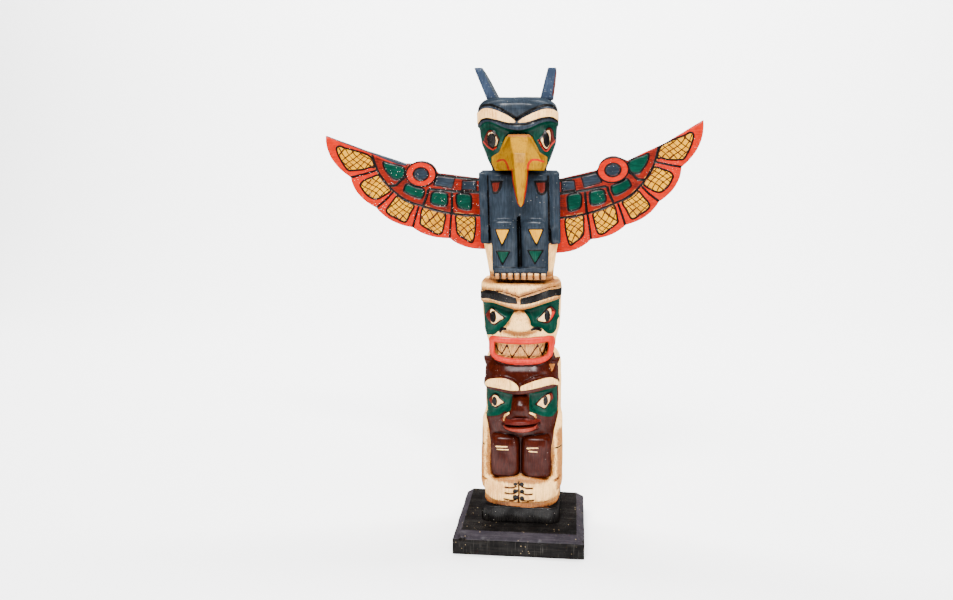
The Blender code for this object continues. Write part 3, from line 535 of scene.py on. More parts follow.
def poleForms():
    forms = [trunk("black", "foot", [(0.0, 1.0, -1.0, 1.0), (0.5, 1.0, -0.995, 1.0), (1.02, 0.985, -0.985, 0.99)], 9,
                   edge=0.6)]
    # seated brown figure and the cream block behind and under it
    forms += [
        trunk("cream", "brown", [(-0.01, 0.955, -0.93, 0.98), (0.10, 0.955, -0.93, 1.0), (0.20, 0.955, -0.86, 1.0)],
              3.4),
        trunk("brown", "brown", [(0.15, 0.92, -0.78, 0.6), (0.46, 0.90, -0.78, 0.6), (0.50, 0.86, -0.86, 0.6),
                                 (0.58, 0.90, -0.93, 0.6), (0.64, 0.92, -0.93, 0.6), (0.70, 0.93, -0.86, 0.6),
                                 (0.79, 0.93, -0.84, 0.6), (0.86, 0.93, -0.94, 0.6), (0.93, 0.92, -0.90, 0.6),
                                 (1.02, 0.80, -0.74, 0.6)], 2.8),
        trunk("cream", "brown", [(-0.01, 0.96, -0.18, 1.01), (0.30, 0.985, -0.18, 1.02), (0.93, 0.98, -0.10, 1.01),
                                 (0.975, 0.93, -0.02, 0.97), (1.02, 0.84, 0.0, 0.88)], 3.6, edge=2.5),
        patch("cream", "brown", bendThrough(brownFace["forearms"]), 1.045, -1.05, 1.02, 3.2, 4.0),
        trunk("brown", "brown", [(0.620, 0.34, -1.02, -0.5), (0.645, 0.39, -1.11, -0.5), (0.68, 0.35, -1.15, -0.5),
                                 (0.72, 0.29, -1.11, -0.5), (0.75, 0.23, -1.04, -0.5), (0.782, 0.13, -0.92, -0.6)],
              2.0, 0.01, 1.6, 2.6),
        dome("maroon", "brown", (0.02, -0.88, 0.601), (0.48, 0.22, 0.026), 1.2),
        dome("maroon", "brown", (0.02, -0.88, 0.556), (0.42, 0.24, 0.030), 1.0),
        patch("brown", "brown", bendThrough(brownFace["browTop"] + brownFace["browFoot"]), 0.965, -0.985, 0.60, 2.7,
              2.2),
    ]
    for hand in (-1, 1):
        forms += [
            trunk("cream", "brown", [(0.10, 0.14, -0.72, 0.50), (0.15, 0.19, -0.80, 0.60), (0.36, 0.19, -0.60, 0.62),
                                     (0.56, 0.17, -0.42, 0.60), (0.60, 0.12, -0.30, 0.50)], 3.5, hand * 0.85, 1.5, 3.0),
            pillow("brown", "brown", hand * 0.392, 0.365, -1.01, -0.4, 0.208, 0.498, 0.24, 3.3),
            dome("brown", "brown", (0.01 + hand * 0.225, -0.95, 0.648), (0.155, 0.14, 0.042), 2.0),
            patch("brown", "brown", [(hand * x, z) for x, z in brownFace["ear"]], 1.02, -0.66, 0.60, 3.0, 1.0),
        ]
    # head with bared teeth
    forms += [
        trunk("cream", "toothed", [(-0.02, 0.70, -0.70, 0.92), (0.08, 0.78, -0.88, 0.96), (0.30, 0.90, -0.96, 1.0),
                                   (0.40, 0.96, -0.93, 1.0), (0.60, 0.99, -0.86, 1.0), (0.72, 1.0, -0.85, 1.0),
                                   (0.80, 1.0, -0.97, 1.0), (0.93, 1.01, -1.0, 1.0), (0.98, 0.99, -0.98, 0.99),
                                   (1.01, 0.93, -0.92, 0.95)], 2.9, edge=1.2),
        patch("cream", "toothed", bendThrough(toothedFace["browTop"] + toothedFace["browFoot"]), 1.02, -1.02, 1.0, 2.8,
              2.4),
        trunk("cream", "toothed", [(0.03, 0.60, -0.90, -0.2), (0.12, 0.70, -0.97, -0.2), (0.36, 0.73, -1.0, -0.2),
                                   (0.44, 0.64, -0.96, -0.2)], 3.2, blend=2.0, edge=3.0),
        trunk("cream", "toothed", [(0.40, 0.20, -1.02, -0.5), (0.44, 0.28, -1.15, -0.5), (0.52, 0.28, -1.18, -0.5),
                                   (0.60, 0.24, -1.08, -0.5), (0.68, 0.14, -0.92, -0.5)], 2.3, blend=2.0, edge=3.0),
    ]
    for hand in (-1, 1):
        forms.append(dome("cream", "toothed", (hand * 0.30, -0.95, 0.44), (0.17, 0.12, 0.06), 3.0))
    # bird's body
    forms += [
        trunk("cream", "body", [(-0.02, 0.80, -0.60, 0.90), (0.06, 0.81, -0.62, 0.90), (0.34, 0.93, -0.62, 0.97),
                                (0.40, 0.93, -0.55, 0.97)], 3.2),
        trunk("blue", "body", [(0.35, 0.96, -0.60, 1.0), (0.99, 0.96, -0.60, 1.0), (1.01, 0.94, -0.57, 0.97)], 3.2,
              edge=1.0),
        trunk("blue", "body", [(0.06, 0.20, -0.69, -0.2), (0.56, 0.20, -0.70, -0.2)], 6),
        trunk("blue", "body", [(0.045, 0.64, -0.97, -0.2), (0.15, 0.65, -1.0, -0.2)], 9, edge=0.8),
    ]
    for hand in (-1, 1):
        forms += [
            trunk("blue", "body", [(0.345, 0.115, -0.50, 0.30), (0.375, 0.125, -0.525, 0.30),
                                   (0.985, 0.125, -0.525, 0.30), (1.0, 0.11, -0.50, 0.30)], 7, hand * 0.865),
            pillow("blue", "body", hand * 0.355, 0.385, -0.87, -0.2, 0.50, 1.0, 0.06, 3.4, 5.0),
            trunk("blue", "body", [(0.10, 0.325, -0.94, -0.2), (0.30, 0.335, -0.95, -0.2), (0.50, 0.355, -0.98, -0.2),
                                   (0.56, 0.345, -0.955, -0.2), (0.602, 0.29, -0.84, -0.2)], 3.4, hand * 0.362, 0.0,
                  3.0),
        ]
    for k in range(8):
        forms.append(trunk("bone", "body", [(0.045, 0.058, -1.03, -0.7), (0.10, 0.058, -1.03, -0.7)], 6,
                           -0.64 + 0.16 * (k + 0.5), 0.0, 0.6))
    # bird's head
    forms += [
        trunk("blue", "head", [(-0.02, 0.66, -0.52, 0.62), (0.07, 0.69, -0.58, 0.66), (0.16, 0.77, -0.68, 0.76),
                               (0.25, 0.83, -0.74, 0.86), (0.37, 0.92, -0.80, 0.96), (0.55, 0.96, -0.84, 1.0),
                               (0.65, 0.975, -0.86, 1.0), (0.72, 0.98, -0.93, 1.0), (0.83, 0.98, -0.97, 1.0),
                               (0.90, 0.935, -0.95, 0.97), (0.95, 0.85, -0.88, 0.90), (0.98, 0.74, -0.78, 0.80),
                               (1.0, 0.58, -0.60, 0.64)], 3.0, edge=2.0),
        patch("blue", "head", bendThrough(birdHead["browTop"] + birdHead["browFoot"]), 0.995, -1.0, 0.98, 3.0, 2.4),
    ]
    return forms


poleCoats = ("cream", "brown", "blue", "green", "coral", "bone", "ochre", "maroon", "tan", "lip", "stainedBone")
poleLook = {
    # millimetres raised, and where the slope starts and ends as distances inside the outline
    "relief": {"socket": (-2.4, -0.4, 3.4), "birdSocket": (-2.4, -0.4, 2.6), "eye": (2.9, -0.8, 3.0),
               "birdEye": (2.32, -0.8, 3.0), "leaf": (0.5, -0.4, 0.7), "lip": (1.6, -0.8, 3.0),
               "mouth": (-1.8, 1.6, 4.4), "nose": (1.7, -0.6, 3.2), "ear": (-0.8, 0.0, 1.2),
               "triangle": (-0.7, -0.4, 0.8)},
    # depth and half width of each kind of cut
    "cuts": {"nostril": (0.9, 1.4), "lips": (1.8, 1.5), "teeth": (0.7, 1.3), "hands": (1.6, 1.6), "crease": (0.7, 1.6),
             "legs": (3.2, 2.4), "strip": (0.5, 0.9), "mark": (0.6, 1.2), "brow": (0.5, 1.1), "leafLine": (0.6, 1.3),
             "triangle": (0.4, 1.1)},
    "rim": (3.2, 4.3),  # height and half width of the rolled lips round the teeth
    "frontEnds": (-14.0, 8.0),  # the relief fades out between these depths
    # half widths of the painted lines
    "strokes": {"brow": 1.15, "underLeaf": 1.0, "nostril": 1.5, "wing": 0.95, "teeth": 0.75, "dash": 0.7, "fine": 0.6,
                "strip": 0.95, "finger": 0.75, "hands": 0.7, "arm": 0.9, "foot": 1.5, "crown": 1.3, "rim": 3.7},
    "browLift": 1.5,  # how far the bird's brow line stands above the leaf
    "grimeEnds": (0.8, 6.5), "grimeOnTeeth": 0.6, "leastGrime": 0.22, "grimeBehind": 0.35,
    "surface": {
        "brush": (1.3, 1.3, 12.0), "wobble": 0.55, "grain": 0.9, "grime": 0.95, "grimeColour": (0.23, 0.078, 0.016),
        "outlines": 0.62, "stainAndShadeEnds": (0.40, 1.0), "stainAndShade": 0.9, "stainAndShadeColour": (0.22, 0.12, 0.06),
        "wornEnds": (1.15, 1.5), "worn": 0.7, "wornColour": (0.20, 0.16, 0.12), "speckGap": 3.2, "specks": 0.30,
        "speckPatches": (0.56, 0.66), "speckColour": (0.55, 0.50, 0.42), "mottle": 0.34, "dull": 0.0, "lacquer": 0.36,
        "bump": 0.55,
    },
}


def poleRelief(sheet):
    # how far the front of the log is raised or cut, seen from the front
    layer = sheet.blank(0)

    def lift(kind, *outlines):
        amount, low, high = poleLook["relief"][kind]
        for outline in outlines:
            layer[...] += amount * softStep(sheet.inside(outline), low, high)

    def cut(kind, away):
        depth, width = poleLook["cuts"][kind]
        layer[...] -= depth * (1 - softStep(away, 0.2, width))

    def groove(kind, paths):
        cut(kind, sheet.near(*[bendThrough(path, False) for path in paths]))

    for side in ("Left", "Right"):
        for face in (brownFace, toothedFace):
            lift("socket", bendThrough(face["socket" + side]))
            lift("eye", bendThrough(face["eye" + side]))
        for leaf in (brownFace["leaf" + side], toothedFace["black" + side], birdHead["leaf" + side]):
            lift("leaf", bendThrough(leaf))
        lift("birdEye", bendThrough(birdHead["eye" + side]))
    lift("birdSocket", bendThrough(birdHead["socket"]))
    lift("lip", bendThrough(brownFace["upperLip"]), bendThrough(brownFace["lowerLip"]))
    lift("ear", bendThrough(brownFace["earInset"]))
    lift("nose", bendThrough(toothedFace["nose"]))
    lift("mouth", bendThrough(toothedFace["lips"]))
    height, width = poleLook["rim"]
    fromRim = sheet.near(ringThrough(toothedFace["lips"]))
    layer += height * np.sqrt(1 - np.minimum(fromRim / width, 1) ** 2)
    for outline in birdBody["ochre"] + birdBody["green"]:
        lift("triangle", outline)
        cut("triangle", np.abs(sheet.inside(outline)))
    cut("teeth", sheet.near(toothedFace["teeth"]))
    cut("mark", sheet.near(*[ringThrough(mark) for mark in birdBody["marks"]]))
    for kind, paths in (("nostril", brownFace["nostrils"]), ("nostril", toothedFace["nostrils"]),
                        ("lips", [brownFace["betweenLips"]]), ("crease", brownFace["armCreases"]),
                        ("hands", brownFace["fingers"] + [brownFace["betweenHands"]]),
                        ("legs", [birdBody["betweenLegs"]]), ("strip", birdBody["stripLines"]),
                        ("brow", [toothedFace["browTop"]]), ("brow", [birdHead["browTop"]]),
                        ("leafLine", [birdHead["leafLine"]])):
        groove(kind, paths)
    return layer


poleParts = poleForms()
poleRaise = poleRelief(frontSheet)
print("log's forms and relief laid out")

# Each wing has a frame of its own: x outwards along the board, z up from the line between the feather rows.
wingSizes = {
    "left_wing": {"hand": -1, "span": 173.0, "height": 119.0, "lift": 0.0, "dip": 0.0, "specks": 1.0},
    "right_wing": {"hand": 1, "span": 159.0, "height": 122.5, "lift": 5.5, "dip": 3.5, "specks": 0.45},
}
wingLook = {
    "thickness": 8.0, "front": 8.0, "rootX": 35.28, "voxel": 0.8,
    # how far up the body figure the middle of the roots is, and how much the left is above and the right below that
    "seat": (0.573, 0.011),
    # shares of the span and the height: the root's end, top and foot, and the ring's middle and half sizes
    "root": (-0.012, 0.343, -0.294), "ring": (0.406, 0.370, 0.0975, 0.118),
    # depth and half width of the cuts, and the depth of the lines round the panels
    "cuts": {"feathers": (1.1, 1.5), "row": (0.9, 1.3), "inner": (0.9, 1.3), "redLine": (0.35, 0.9),
             "topLine": (0.7, 1.1)},
    "panels": {"green": 0.7, "ochre": 0.35, "strips": 0.55},
    # half widths of the painted lines
    "lines": {"row": 1.15, "feathers": 1.15, "inner": 1.45, "topLine": 1.45},
    "surface": {
        "brush": (9.0, 1.2, 1.4), "wobble": 0.6, "outlines": 1.0, "hatch": 2.9, "stainAndShadeEnds": (0.40, 1.0), "stainAndShade": 0.8,
        "stainAndShadeColour": (0.25, 0.16, 0.12), "wornEnds": (1.10, 1.45), "worn": 0.6, "wornColour": (0.40, 0.30, 0.22),
        "speckGap": 2.3, "specks": 0.95, "speckPatches": (0.42, 0.56), "speckColour": (0.70, 0.66, 0.58),
        "mottle": 0.50, "dull": 0.04, "lacquer": 0.26, "bump": 0.5,
    },
}
glueGap = 0.3  # between two pieces


def wingRoot(size):
    bottom, height = logShape["figures"]["body"][:2]
    middle, lead = wingLook["seat"]
    return bottom + (middle - lead * size["hand"]) * height


def toWing(size, x, z):
    c, s = turning(size["lift"])
    out = size["hand"] * (x - bow(wingRoot(size))) - wingLook["rootX"]
    up = z - wingRoot(size)
    return out * c + up * s, up * c - out * s


def fromWing(size, points):
    c, s = turning(size["lift"])
    out, deep, up = points.T
    x = size["hand"] * (wingLook["rootX"] + out * c - up * s) + bow(wingRoot(size))
    return np.stack([x, wingLook["front"] + deep, wingRoot(size) + out * s + up * c], 1)


def poleField(x, y, z):
    x, y, z = (np.asarray(v, float) for v in (x, y, z))
    value = np.full(x.shape, 30.0)
    for form in poleParts:
        near = form.near(x, y, z)
        if not near.any():
            continue
        found = form.at(x[near], y[near], z[near])
        value[near] = softLeast(value[near], found, form.blend) if form.blend else np.minimum(value[near], found)
    front = 1 - softStep(y, *poleLook["frontEnds"])
    value = value - front * frontSheet.read(poleRaise, x - bow(z), z) + handMade(x, y, z)
    # the slots that hold the wings' roots
    end, top, foot = wingLook["root"]
    deep = y - wingLook["front"]
    for size in wingSizes.values():
        out, up = toWing(size, x, z)
        slot = np.max([-deep, deep - wingLook["thickness"], end * size["span"] - out, up - top * size["height"],
                       foot * size["height"] - up], 0) - glueGap
        value = np.maximum(value, -slot)
    # the pocket behind the beak
    across, deep, up = headFrame(x, y, z)
    return np.maximum(value, -beakSeat(across, deep, up))


# The beak and the ear boards are set out in the head's frame; the beak's sizes are shares of the log's half width and
# of the head's height.
headLook = {
    "seat": -30.8, "reach": 38.0, "drop": 35.0,
    "plate": [(0.24, 0.50), (0.32, 0.46), (0.49, 0.26), (0.67, 0.20), (0.66, 0.11), (0.58, 0.02)],
}
headBottom, headHeight, headTurn = logShape["figures"]["head"]
headWide = logShape["halfWidth"]
plateSide = np.array(headLook["plate"]) * (headWide, headHeight)
plateSheet = Sheet((-34.0, -8.0), (34.0, 46.0), 0.4)
plateInside = plateSheet.inside(np.concatenate([plateSide, plateSide[::-1] * (-1, 1)]), reach=6.0)


def headFrame(x, y, z):
    across = x - bow(z)
    deep = y - logShape["setBack"]
    c, s = turning(headTurn)
    return across * c + deep * s, deep * c - across * s, z - headBottom


def beakSeat(across, deep, up):
    # the pocket: the outline of the cheek plates run forwards from the seat
    return np.maximum(-plateSheet.read(plateInside, across, up), deep - headLook["seat"]) - glueGap


def polePaint(points):
    # the colours of the log: first each form's own, then what is painted on the front
    x, y, z = points.T
    names = ("black", *poleCoats)
    nearest = {name: np.full(len(points), 12.0) for name in names}
    for form in poleParts:
        near = form.near(x, y, z)
        found = form.at(x[near], y[near], z[near])
        nearest[form.paint][near] = np.minimum(nearest[form.paint][near], found)
    paint = Painting(names, len(points))
    for name in names:
        others = np.min([nearest[other] for other in names if other != name], 0)
        paint.layers[name] = np.clip(others - nearest[name], -paintReach, paintReach)
    across = x - bow(z)
    frontOnly = -2.0  # nothing is painted further back, but for a few strokes

    def area(name, outlines, grow=0.0, smooth=True):
        lines = [bendThrough(line) if smooth else np.array(line) for line in outlines]
        paint.lay(name, np.minimum(frontSheet.read(frontSheet.inside(*lines), across, z) + grow, frontOnly - y))

    def stroke(name, paths, width, ends=frontOnly, smooth=True):
        lines = [bendThrough(line, False) if smooth else np.array(line) for line in paths]
        paint.lay(name, np.minimum(width - frontSheet.read(frontSheet.near(*lines), across, z), ends - y))

    def both(name, face, part):
        area(name, [face[part + "Left"], face[part + "Right"]])

    def eyes(face):
        both("green", face, "socket")
        for side in ("Left", "Right"):
            area("black", [face["eye" + side]])
            area("maroon", [face["eye" + side]], grow=-0.8)
            area("bone", [face["white" + side]])
            area("black", [ellipse(*face["pupil" + side])], smooth=False)

    strokes = poleLook["strokes"]
    claws = paint.layers["bone"].copy()
    # brown figure
    both("cream", brownFace, "leaf")
    eyes(brownFace)
    stroke("cream", brownFace["nostrils"], strokes["wing"])
    area("maroon", [brownFace["upperLip"]], grow=0.4)
    area("lip", [brownFace["lowerLip"]], grow=0.4)
    stroke("black", [brownFace["betweenLips"]], strokes["fine"])
    stroke("bone", brownFace["dashes"], strokes["dash"])
    area("tan", [brownFace["earInset"]], grow=-0.8)
    stroke("brown", brownFace["fingers"], strokes["finger"])
    stroke("brown", [brownFace["betweenHands"]], strokes["hands"])
    for x0, z0, halfX, halfZ in brownFace["nails"]:
        area("black", [ellipse(x0, z0, halfX * 1.1, halfZ * 1.1, 12)], smooth=False)
    stroke("black", brownFace["armMarks"], strokes["arm"], 6.0)
    stroke("tan", [brownFace["footLine"]], strokes["foot"])
    # toothed head
    stroke("tan", [toothedFace["crownLine"]], strokes["crown"])
    stroke("brown", [toothedFace["browTop"]], strokes["fine"])
    both("black", toothedFace, "black")
    eyes(toothedFace)
    area("coral", [toothedFace["blushRight"]])
    stroke("black", toothedFace["nostrils"], strokes["nostril"])
    rim = ringThrough(toothedFace["lips"])
    area("stainedBone", [toothedFace["lips"]])
    stroke("brown", [np.array(toothedFace["teeth"])], strokes["teeth"], smooth=False)
    stroke("brown", toothedFace["toothBits"], strokes["fine"])
    stroke("coral", [rim], strokes["rim"], smooth=False)
    # bird's body, with dark gaps between the claws
    area("black", [birdBody["clawRow"]], smooth=False)
    row = frontSheet.read(frontSheet.inside(birdBody["clawRow"]), across, z)
    paint.lay("bone", np.minimum(np.minimum(row, frontOnly - y), claws - 0.1))
    stroke("black", birdBody["stripLines"], strokes["strip"])
    area("black", birdBody["marks"], grow=0.4)
    area("maroon", birdBody["markFills"])
    area("ochre", birdBody["ochre"], smooth=False)
    area("green", birdBody["green"], smooth=False)
    # bird's head
    both("cream", birdHead, "leaf")
    stroke("black", [birdHead["leafLine"]], strokes["underLeaf"], 2.0)
    stroke("black", [np.add(birdHead["browTop"], (0, poleLook["browLift"]))], strokes["brow"], 2.0)
    area("green", [birdHead["socket"]])
    for side in ("Left", "Right"):
        area("black", [birdHead["eye" + side]], grow=0.4)
        area("maroon", [birdHead["eye" + side]], grow=-0.5)
        stroke("coral", [birdHead["eye" + side][8:] + birdHead["eye" + side][:1]], strokes["fine"])  # the lower lid
        area("black", [birdHead["white" + side]], grow=0.7)
        area("bone", [birdHead["white" + side]])
        area("black", [ellipse(*birdHead["pupil" + side])], smooth=False)
    values = paint.values()
    gathered = frontSheet.near(rim, *[bendThrough(line, False) for line in grimeLines])
    grime = 1 - softStep(frontSheet.read(gathered, across, z), *poleLook["grimeEnds"])
    teeth = softStep(frontSheet.read(frontSheet.inside(rim), across, z), 2.0, 4.0) * poleLook["grimeOnTeeth"]
    grime = np.maximum(np.maximum(grime, teeth), poleLook["leastGrime"])
    values["grime"] = np.where(y < 6, grime, poleLook["grimeBehind"])
    triangles = frontSheet.inside(*birdBody["ochre"], *birdBody["green"])
    values["outlined"] = np.where(y < frontOnly, frontSheet.read(triangles, across, z), -paintReach)
    return values


def carvePole():
    size = logShape["voxel"]
    low, high = (np.array(corner) * 1000 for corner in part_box("pole"))
    xs = np.arange(low[0] - 3, high[0] + 4, size)
    # the plain back is cut more coarsely
    ys = np.concatenate([np.arange(low[1] - 4, 6, size), np.arange(6, high[1] + 6, size * 1.6)])
    zs = np.arange(low[2] - 2, high[2] + 4, size)
    points, faces = carve(poleField, xs, ys, zs)
    print("log carved:", len(faces), "faces")
    values = {**polePaint(points), **wear(points, poleField)}
    return newPiece("carved_log", points, faces, values,
                    paintedWood("painted log", poleCoats, "black", poleLook["surface"]))


class Wire:
    # a value inside a material, with arithmetic
    def __init__(self, tree, socket=None):
        self.tree = tree
        self.socket = socket

    def node(self, kind, settings=None, sockets=None, out=0):
        made = self.tree.nodes.new("ShaderNode" + kind)
        for name, value in (settings or {}).items():
            setattr(made, name, value)
        for name, value in (sockets or {}).items():
            if isinstance(value, Wire):
                self.tree.links.new(value.socket, made.inputs[name])
            else:
                made.inputs[name].default_value = value
        return Wire(self.tree, made.outputs[out])

    def work(self, operation, *values):
        if all(not isinstance(value, Wire) or value.socket.type == "VALUE" for value in values):
            return self.node("Math", {"operation": operation}, dict(enumerate(values)))
        values = [value if isinstance(value, Wire) or isinstance(value, tuple) else (value,) * 3 for value in values]
        return self.node("VectorMath", {"operation": operation}, dict(enumerate(values)))

    def __add__(self, other):
        return self.work("ADD", self, other)

    def __radd__(self, other):
        return self.work("ADD", other, self)

    def __sub__(self, other):
        return self.work("SUBTRACT", self, other)

    def __rsub__(self, other):
        return self.work("SUBTRACT", other, self)

    def __mul__(self, other):
        return self.work("MULTIPLY", self, other)

    def __rmul__(self, other):
        return self.work("MULTIPLY", other, self)

    def __abs__(self):
        return self.work("ABSOLUTE", self)

    def most(self, other):
        return self.work("MAXIMUM", self, other)

    def least(self, other):
        return self.work("MINIMUM", self, other)

    def between(self, low, high):
        # nought below low, one above high, smooth between them
        return self.node("MapRange", {"interpolation_type": "SMOOTHSTEP"}, {0: self, 1: low, 2: high, 3: 0.0, 4: 1.0})

    def cloud(self, size, detail=3.0, rough=0.55, bend=0.0):
        # an uneven pattern with patches about size millimetres across; size may be three numbers
        size = size if isinstance(size, tuple) else (size,) * 3
        spread = self * tuple(1 / s for s in size)
        return self.node("TexNoise", {}, {"Vector": spread, "Scale": 1.0, "Detail": detail, "Roughness": rough,
                                          "Distortion": bend})

    def dots(self, size):
        return self.node("TexVoronoi", {}, {"Vector": self * ((1 / size,) * 3), "Scale": 1.0})

    def attribute(self, name):
        return self.node("Attribute", {"attribute_name": name}, out="Fac")

    def tint(self, factor, under, over):
        # over laid on under, as strongly as the factor says
        colours = [c if isinstance(c, Wire) else (*c, 1.0) for c in (under, over)]
        return self.node("Mix", {"data_type": "RGBA", "clamp_factor": True}, {0: factor, 6: colours[0], 7: colours[1]},
                         2)


coats = {
    # colour, its darker or warmer patches, how rough it dries
    "black": ((0.0025, 0.0022, 0.0022), (0.0070, 0.0060, 0.0054), 0.36),
    "cream": ((0.92, 0.54, 0.185), (0.66, 0.31, 0.085), 0.52),
    "brown": ((0.0180, 0.0018, 0.0005), (0.033, 0.0043, 0.0014), 0.28),
    "blue": ((0.0086, 0.0124, 0.0174), (0.0155, 0.0222, 0.0315), 0.30),
    "green": ((0.0001, 0.0180, 0.0105), (0.0006, 0.032, 0.0195), 0.36),
    "coral": ((0.34, 0.0110, 0.0050), (0.46, 0.0230, 0.0115), 0.32),
    "bone": ((0.93, 0.58, 0.24), (0.66, 0.33, 0.11), 0.45),
    "ochre": ((0.49, 0.222, 0.0003), (0.33, 0.125, 0.0002), 0.46),
    # a darker ochre, painted shade on the beak's left side facet
    "shadedFacetOchre": ((0.150, 0.068, 0.0004), (0.080, 0.030, 0.0003), 0.55),
    # a darker copy of the beak's yellow, painted shade on the cheek plates
    "shadedPlateYellow": ((0.205, 0.098, 0.0002), (0.125, 0.050, 0.0002), 0.46),
    "beakYellow": ((0.268, 0.126, 0.0001), (0.165, 0.064, 0.0001), 0.42),
    "maroon": ((0.046, 0.0046, 0.0030), (0.085, 0.0098, 0.0056), 0.32),
    "lip": ((0.150, 0.0190, 0.0120), (0.230, 0.0400, 0.0260), 0.28),
    "tan": ((0.30, 0.105, 0.022), (0.16, 0.048, 0.010), 0.55),
    "red": ((0.34, 0.0080, 0.0008), (0.23, 0.0055, 0.0008), 0.36),
    "pale": ((0.034, 0.040, 0.046), (0.012, 0.015, 0.020), 0.5),
    "hornBlue": ((0.0150, 0.0225, 0.0390), (0.0240, 0.0350, 0.0600), 0.32),
    "stainedBone": ((0.56, 0.27, 0.080), (0.20, 0.072, 0.018), 0.5),
    # a lighter grey for the base's bevel, a painted sheen
    "bevelSheenGrey": ((0.0150, 0.0128, 0.0160), (0.0260, 0.0220, 0.0260), 0.40),
    "lineRed": ((0.145, 0.0060, 0.0035), (0.100, 0.0045, 0.0030), 0.4),
    "rust": ((0.135, 0.0070, 0.0030), (0.050, 0.0055, 0.0040), 0.40),
}
woodCoats = ("cream", "bone", "stainedBone")  # thin enough to show the grain
finish = {"pits": (0.10, 0.032, 0.008), "hatching": (0.030, 0.008, 0.003), "lacquerRough": 0.24, "lacquerIndex": 1.45,
          "bumpDepth": 0.0006}


def paintedWood(name, painted, base, look):
    # painted names the colours laid over the base coat; the piece's own values say where each of them lies
    material = bpy.data.materials.new(name)
    material.use_nodes = True
    tree = material.node_tree
    shader = tree.nodes["Principled BSDF"]
    wire = Wire(tree)
    place = wire.node("TexCoord", out="Object") * (1000.0, 1000.0, 1000.0)
    brush = place.cloud(look["brush"], 4.0, 0.62)
    broad = place.cloud(17.0, 2.0)
    fine = place.cloud(0.9, 3.0, 0.6)
    wobble = (place.cloud(3.2, 2.0) - 0.5) * look["wobble"] + (fine - 0.5) * look["wobble"] * 0.5
    mixing = ((brush - 0.5) * 1.6 + broad).between(0.30, 0.85)
    colour = wire.tint(mixing, coats[base][0], coats[base][1])
    rough = coats[base][2]
    for coat in painted:
        shown = (wire.attribute(coat) + wobble).between(-0.16, 0.16)
        colour = wire.tint(shown, colour, wire.tint(mixing, coats[coat][0], coats[coat][1]))
        rough = rough + shown * (coats[coat][2] - rough)
    if look.get("grain"):
        threads = place.cloud((0.75, 0.75, 34.0), 2.0, 0.6, 0.2).between(0.56, 0.68)
        threads = threads * place.cloud((6.0, 6.0, 30.0), 2.0)
        light = wire.attribute(woodCoats[0])
        for coat in woodCoats[1:]:
            light = light.most(wire.attribute(coat))
        light = light.between(-0.1, 0.3)
        colour = wire.tint(threads * light * look["grain"], colour, coats["tan"][1])
        grime = wire.attribute("grime")
        dirty = (grime + (fine - 0.5) * 1.3 + (brush - 0.5) * 0.9).between(0.22, 1.0) * light
        colour = wire.tint(dirty * look["grime"], colour, look["grimeColour"])
        pits = (1 - place.dots(2.2).between(0.12, 0.28)) * (grime * 1.3 + 0.15).least(0.85) * light
        colour = wire.tint(pits, colour, finish["pits"])
    if look.get("streaks"):
        down = place.cloud((0.9, 0.9, 26.0), 2.0, 0.6).between(0.55, 0.68)
        along = place.cloud((34.0, 1.1, 1.1), 3.0, 0.6).between(0.56, 0.70)
        streaks = down.most(along * 0.7) * place.cloud(14.0, 2.0).between(0.35, 0.65)
        colour = wire.tint(streaks * look["streaks"], colour, look["wornColour"])
    if look.get("outlines"):
        line = 1 - (abs(wire.attribute("outlined") + wobble * 0.7) - look["outlines"]).between(-0.14, 0.14)
        colour = wire.tint(line, colour, coats["black"][0])
    if look.get("hatch"):
        rows = [wire.work("PINGPONG", wire.attribute(row), look["hatch"]) for row in ("rowA", "rowB")]
        inset = (wire.attribute("hatched") + wobble).between(0.1, 0.5)
        apart = rows[0].least(rows[1]) + (fine - 0.5) * 0.9 + (place.cloud(4.5, 2.0) - 0.5) * 0.8
        colour = wire.tint((1 - apart.between(0.40, 0.80)) * inset, colour, finish["hatching"])
    # brown stain and painted shade darkening the hollows, rubbed edges, then specks and mottling
    stainAndShade = (wire.attribute("hollow") + (brush - 0.5) * 0.5).between(*look["stainAndShadeEnds"]) * look["stainAndShade"]
    colour = wire.tint(stainAndShade, colour, colour * look["stainAndShadeColour"])
    rubbed = wire.attribute("edge") + (fine - 0.5) * 0.9 + (place.cloud(6.0, 2.0) - 0.5) * 0.8
    worn = rubbed.between(*look["wornEnds"]) * look["worn"]
    colour = wire.tint(worn, colour, look["wornColour"])
    speck = 1 - place.dots(look["speckGap"]).between(0.08, 0.14)
    speck = speck * place.cloud(19.0, 2.0).between(*look["speckPatches"])
    colour = wire.tint(speck * look["specks"], colour, look["speckColour"])
    colour = colour * ((place.cloud(5.5, 4.0, 0.7) - 0.5) * look["mottle"] + 1.0)
    gloss = (rough + (brush - 0.5) * 0.22 + worn * 0.25 + stainAndShade * 0.10 + look["dull"]).most(0.12)
    lacquer = (broad.between(0.30, 0.60) * 0.6 + 0.4) * (wire.attribute("front") * 0.9 + 0.1) * look["lacquer"]
    height = brush * 0.9 + fine * 0.35 + place.cloud(2.2, 2.0) * 0.5 - worn * 0.5
    bump = wire.node("Bump", {}, {"Strength": look["bump"], "Distance": finish["bumpDepth"], "Height": height})
    for name, value in (("Base Color", colour), ("Roughness", gloss), ("Coat Weight", lacquer), ("Normal", bump)):
        tree.links.new(value.socket, shader.inputs[name])
    shader.inputs["Coat Roughness"].default_value = finish["lacquerRough"]
    shader.inputs["Coat IOR"].default_value = finish["lacquerIndex"]
    shader.inputs["Specular IOR Level"].default_value = 0.0  # only the lacquer shines
    return material


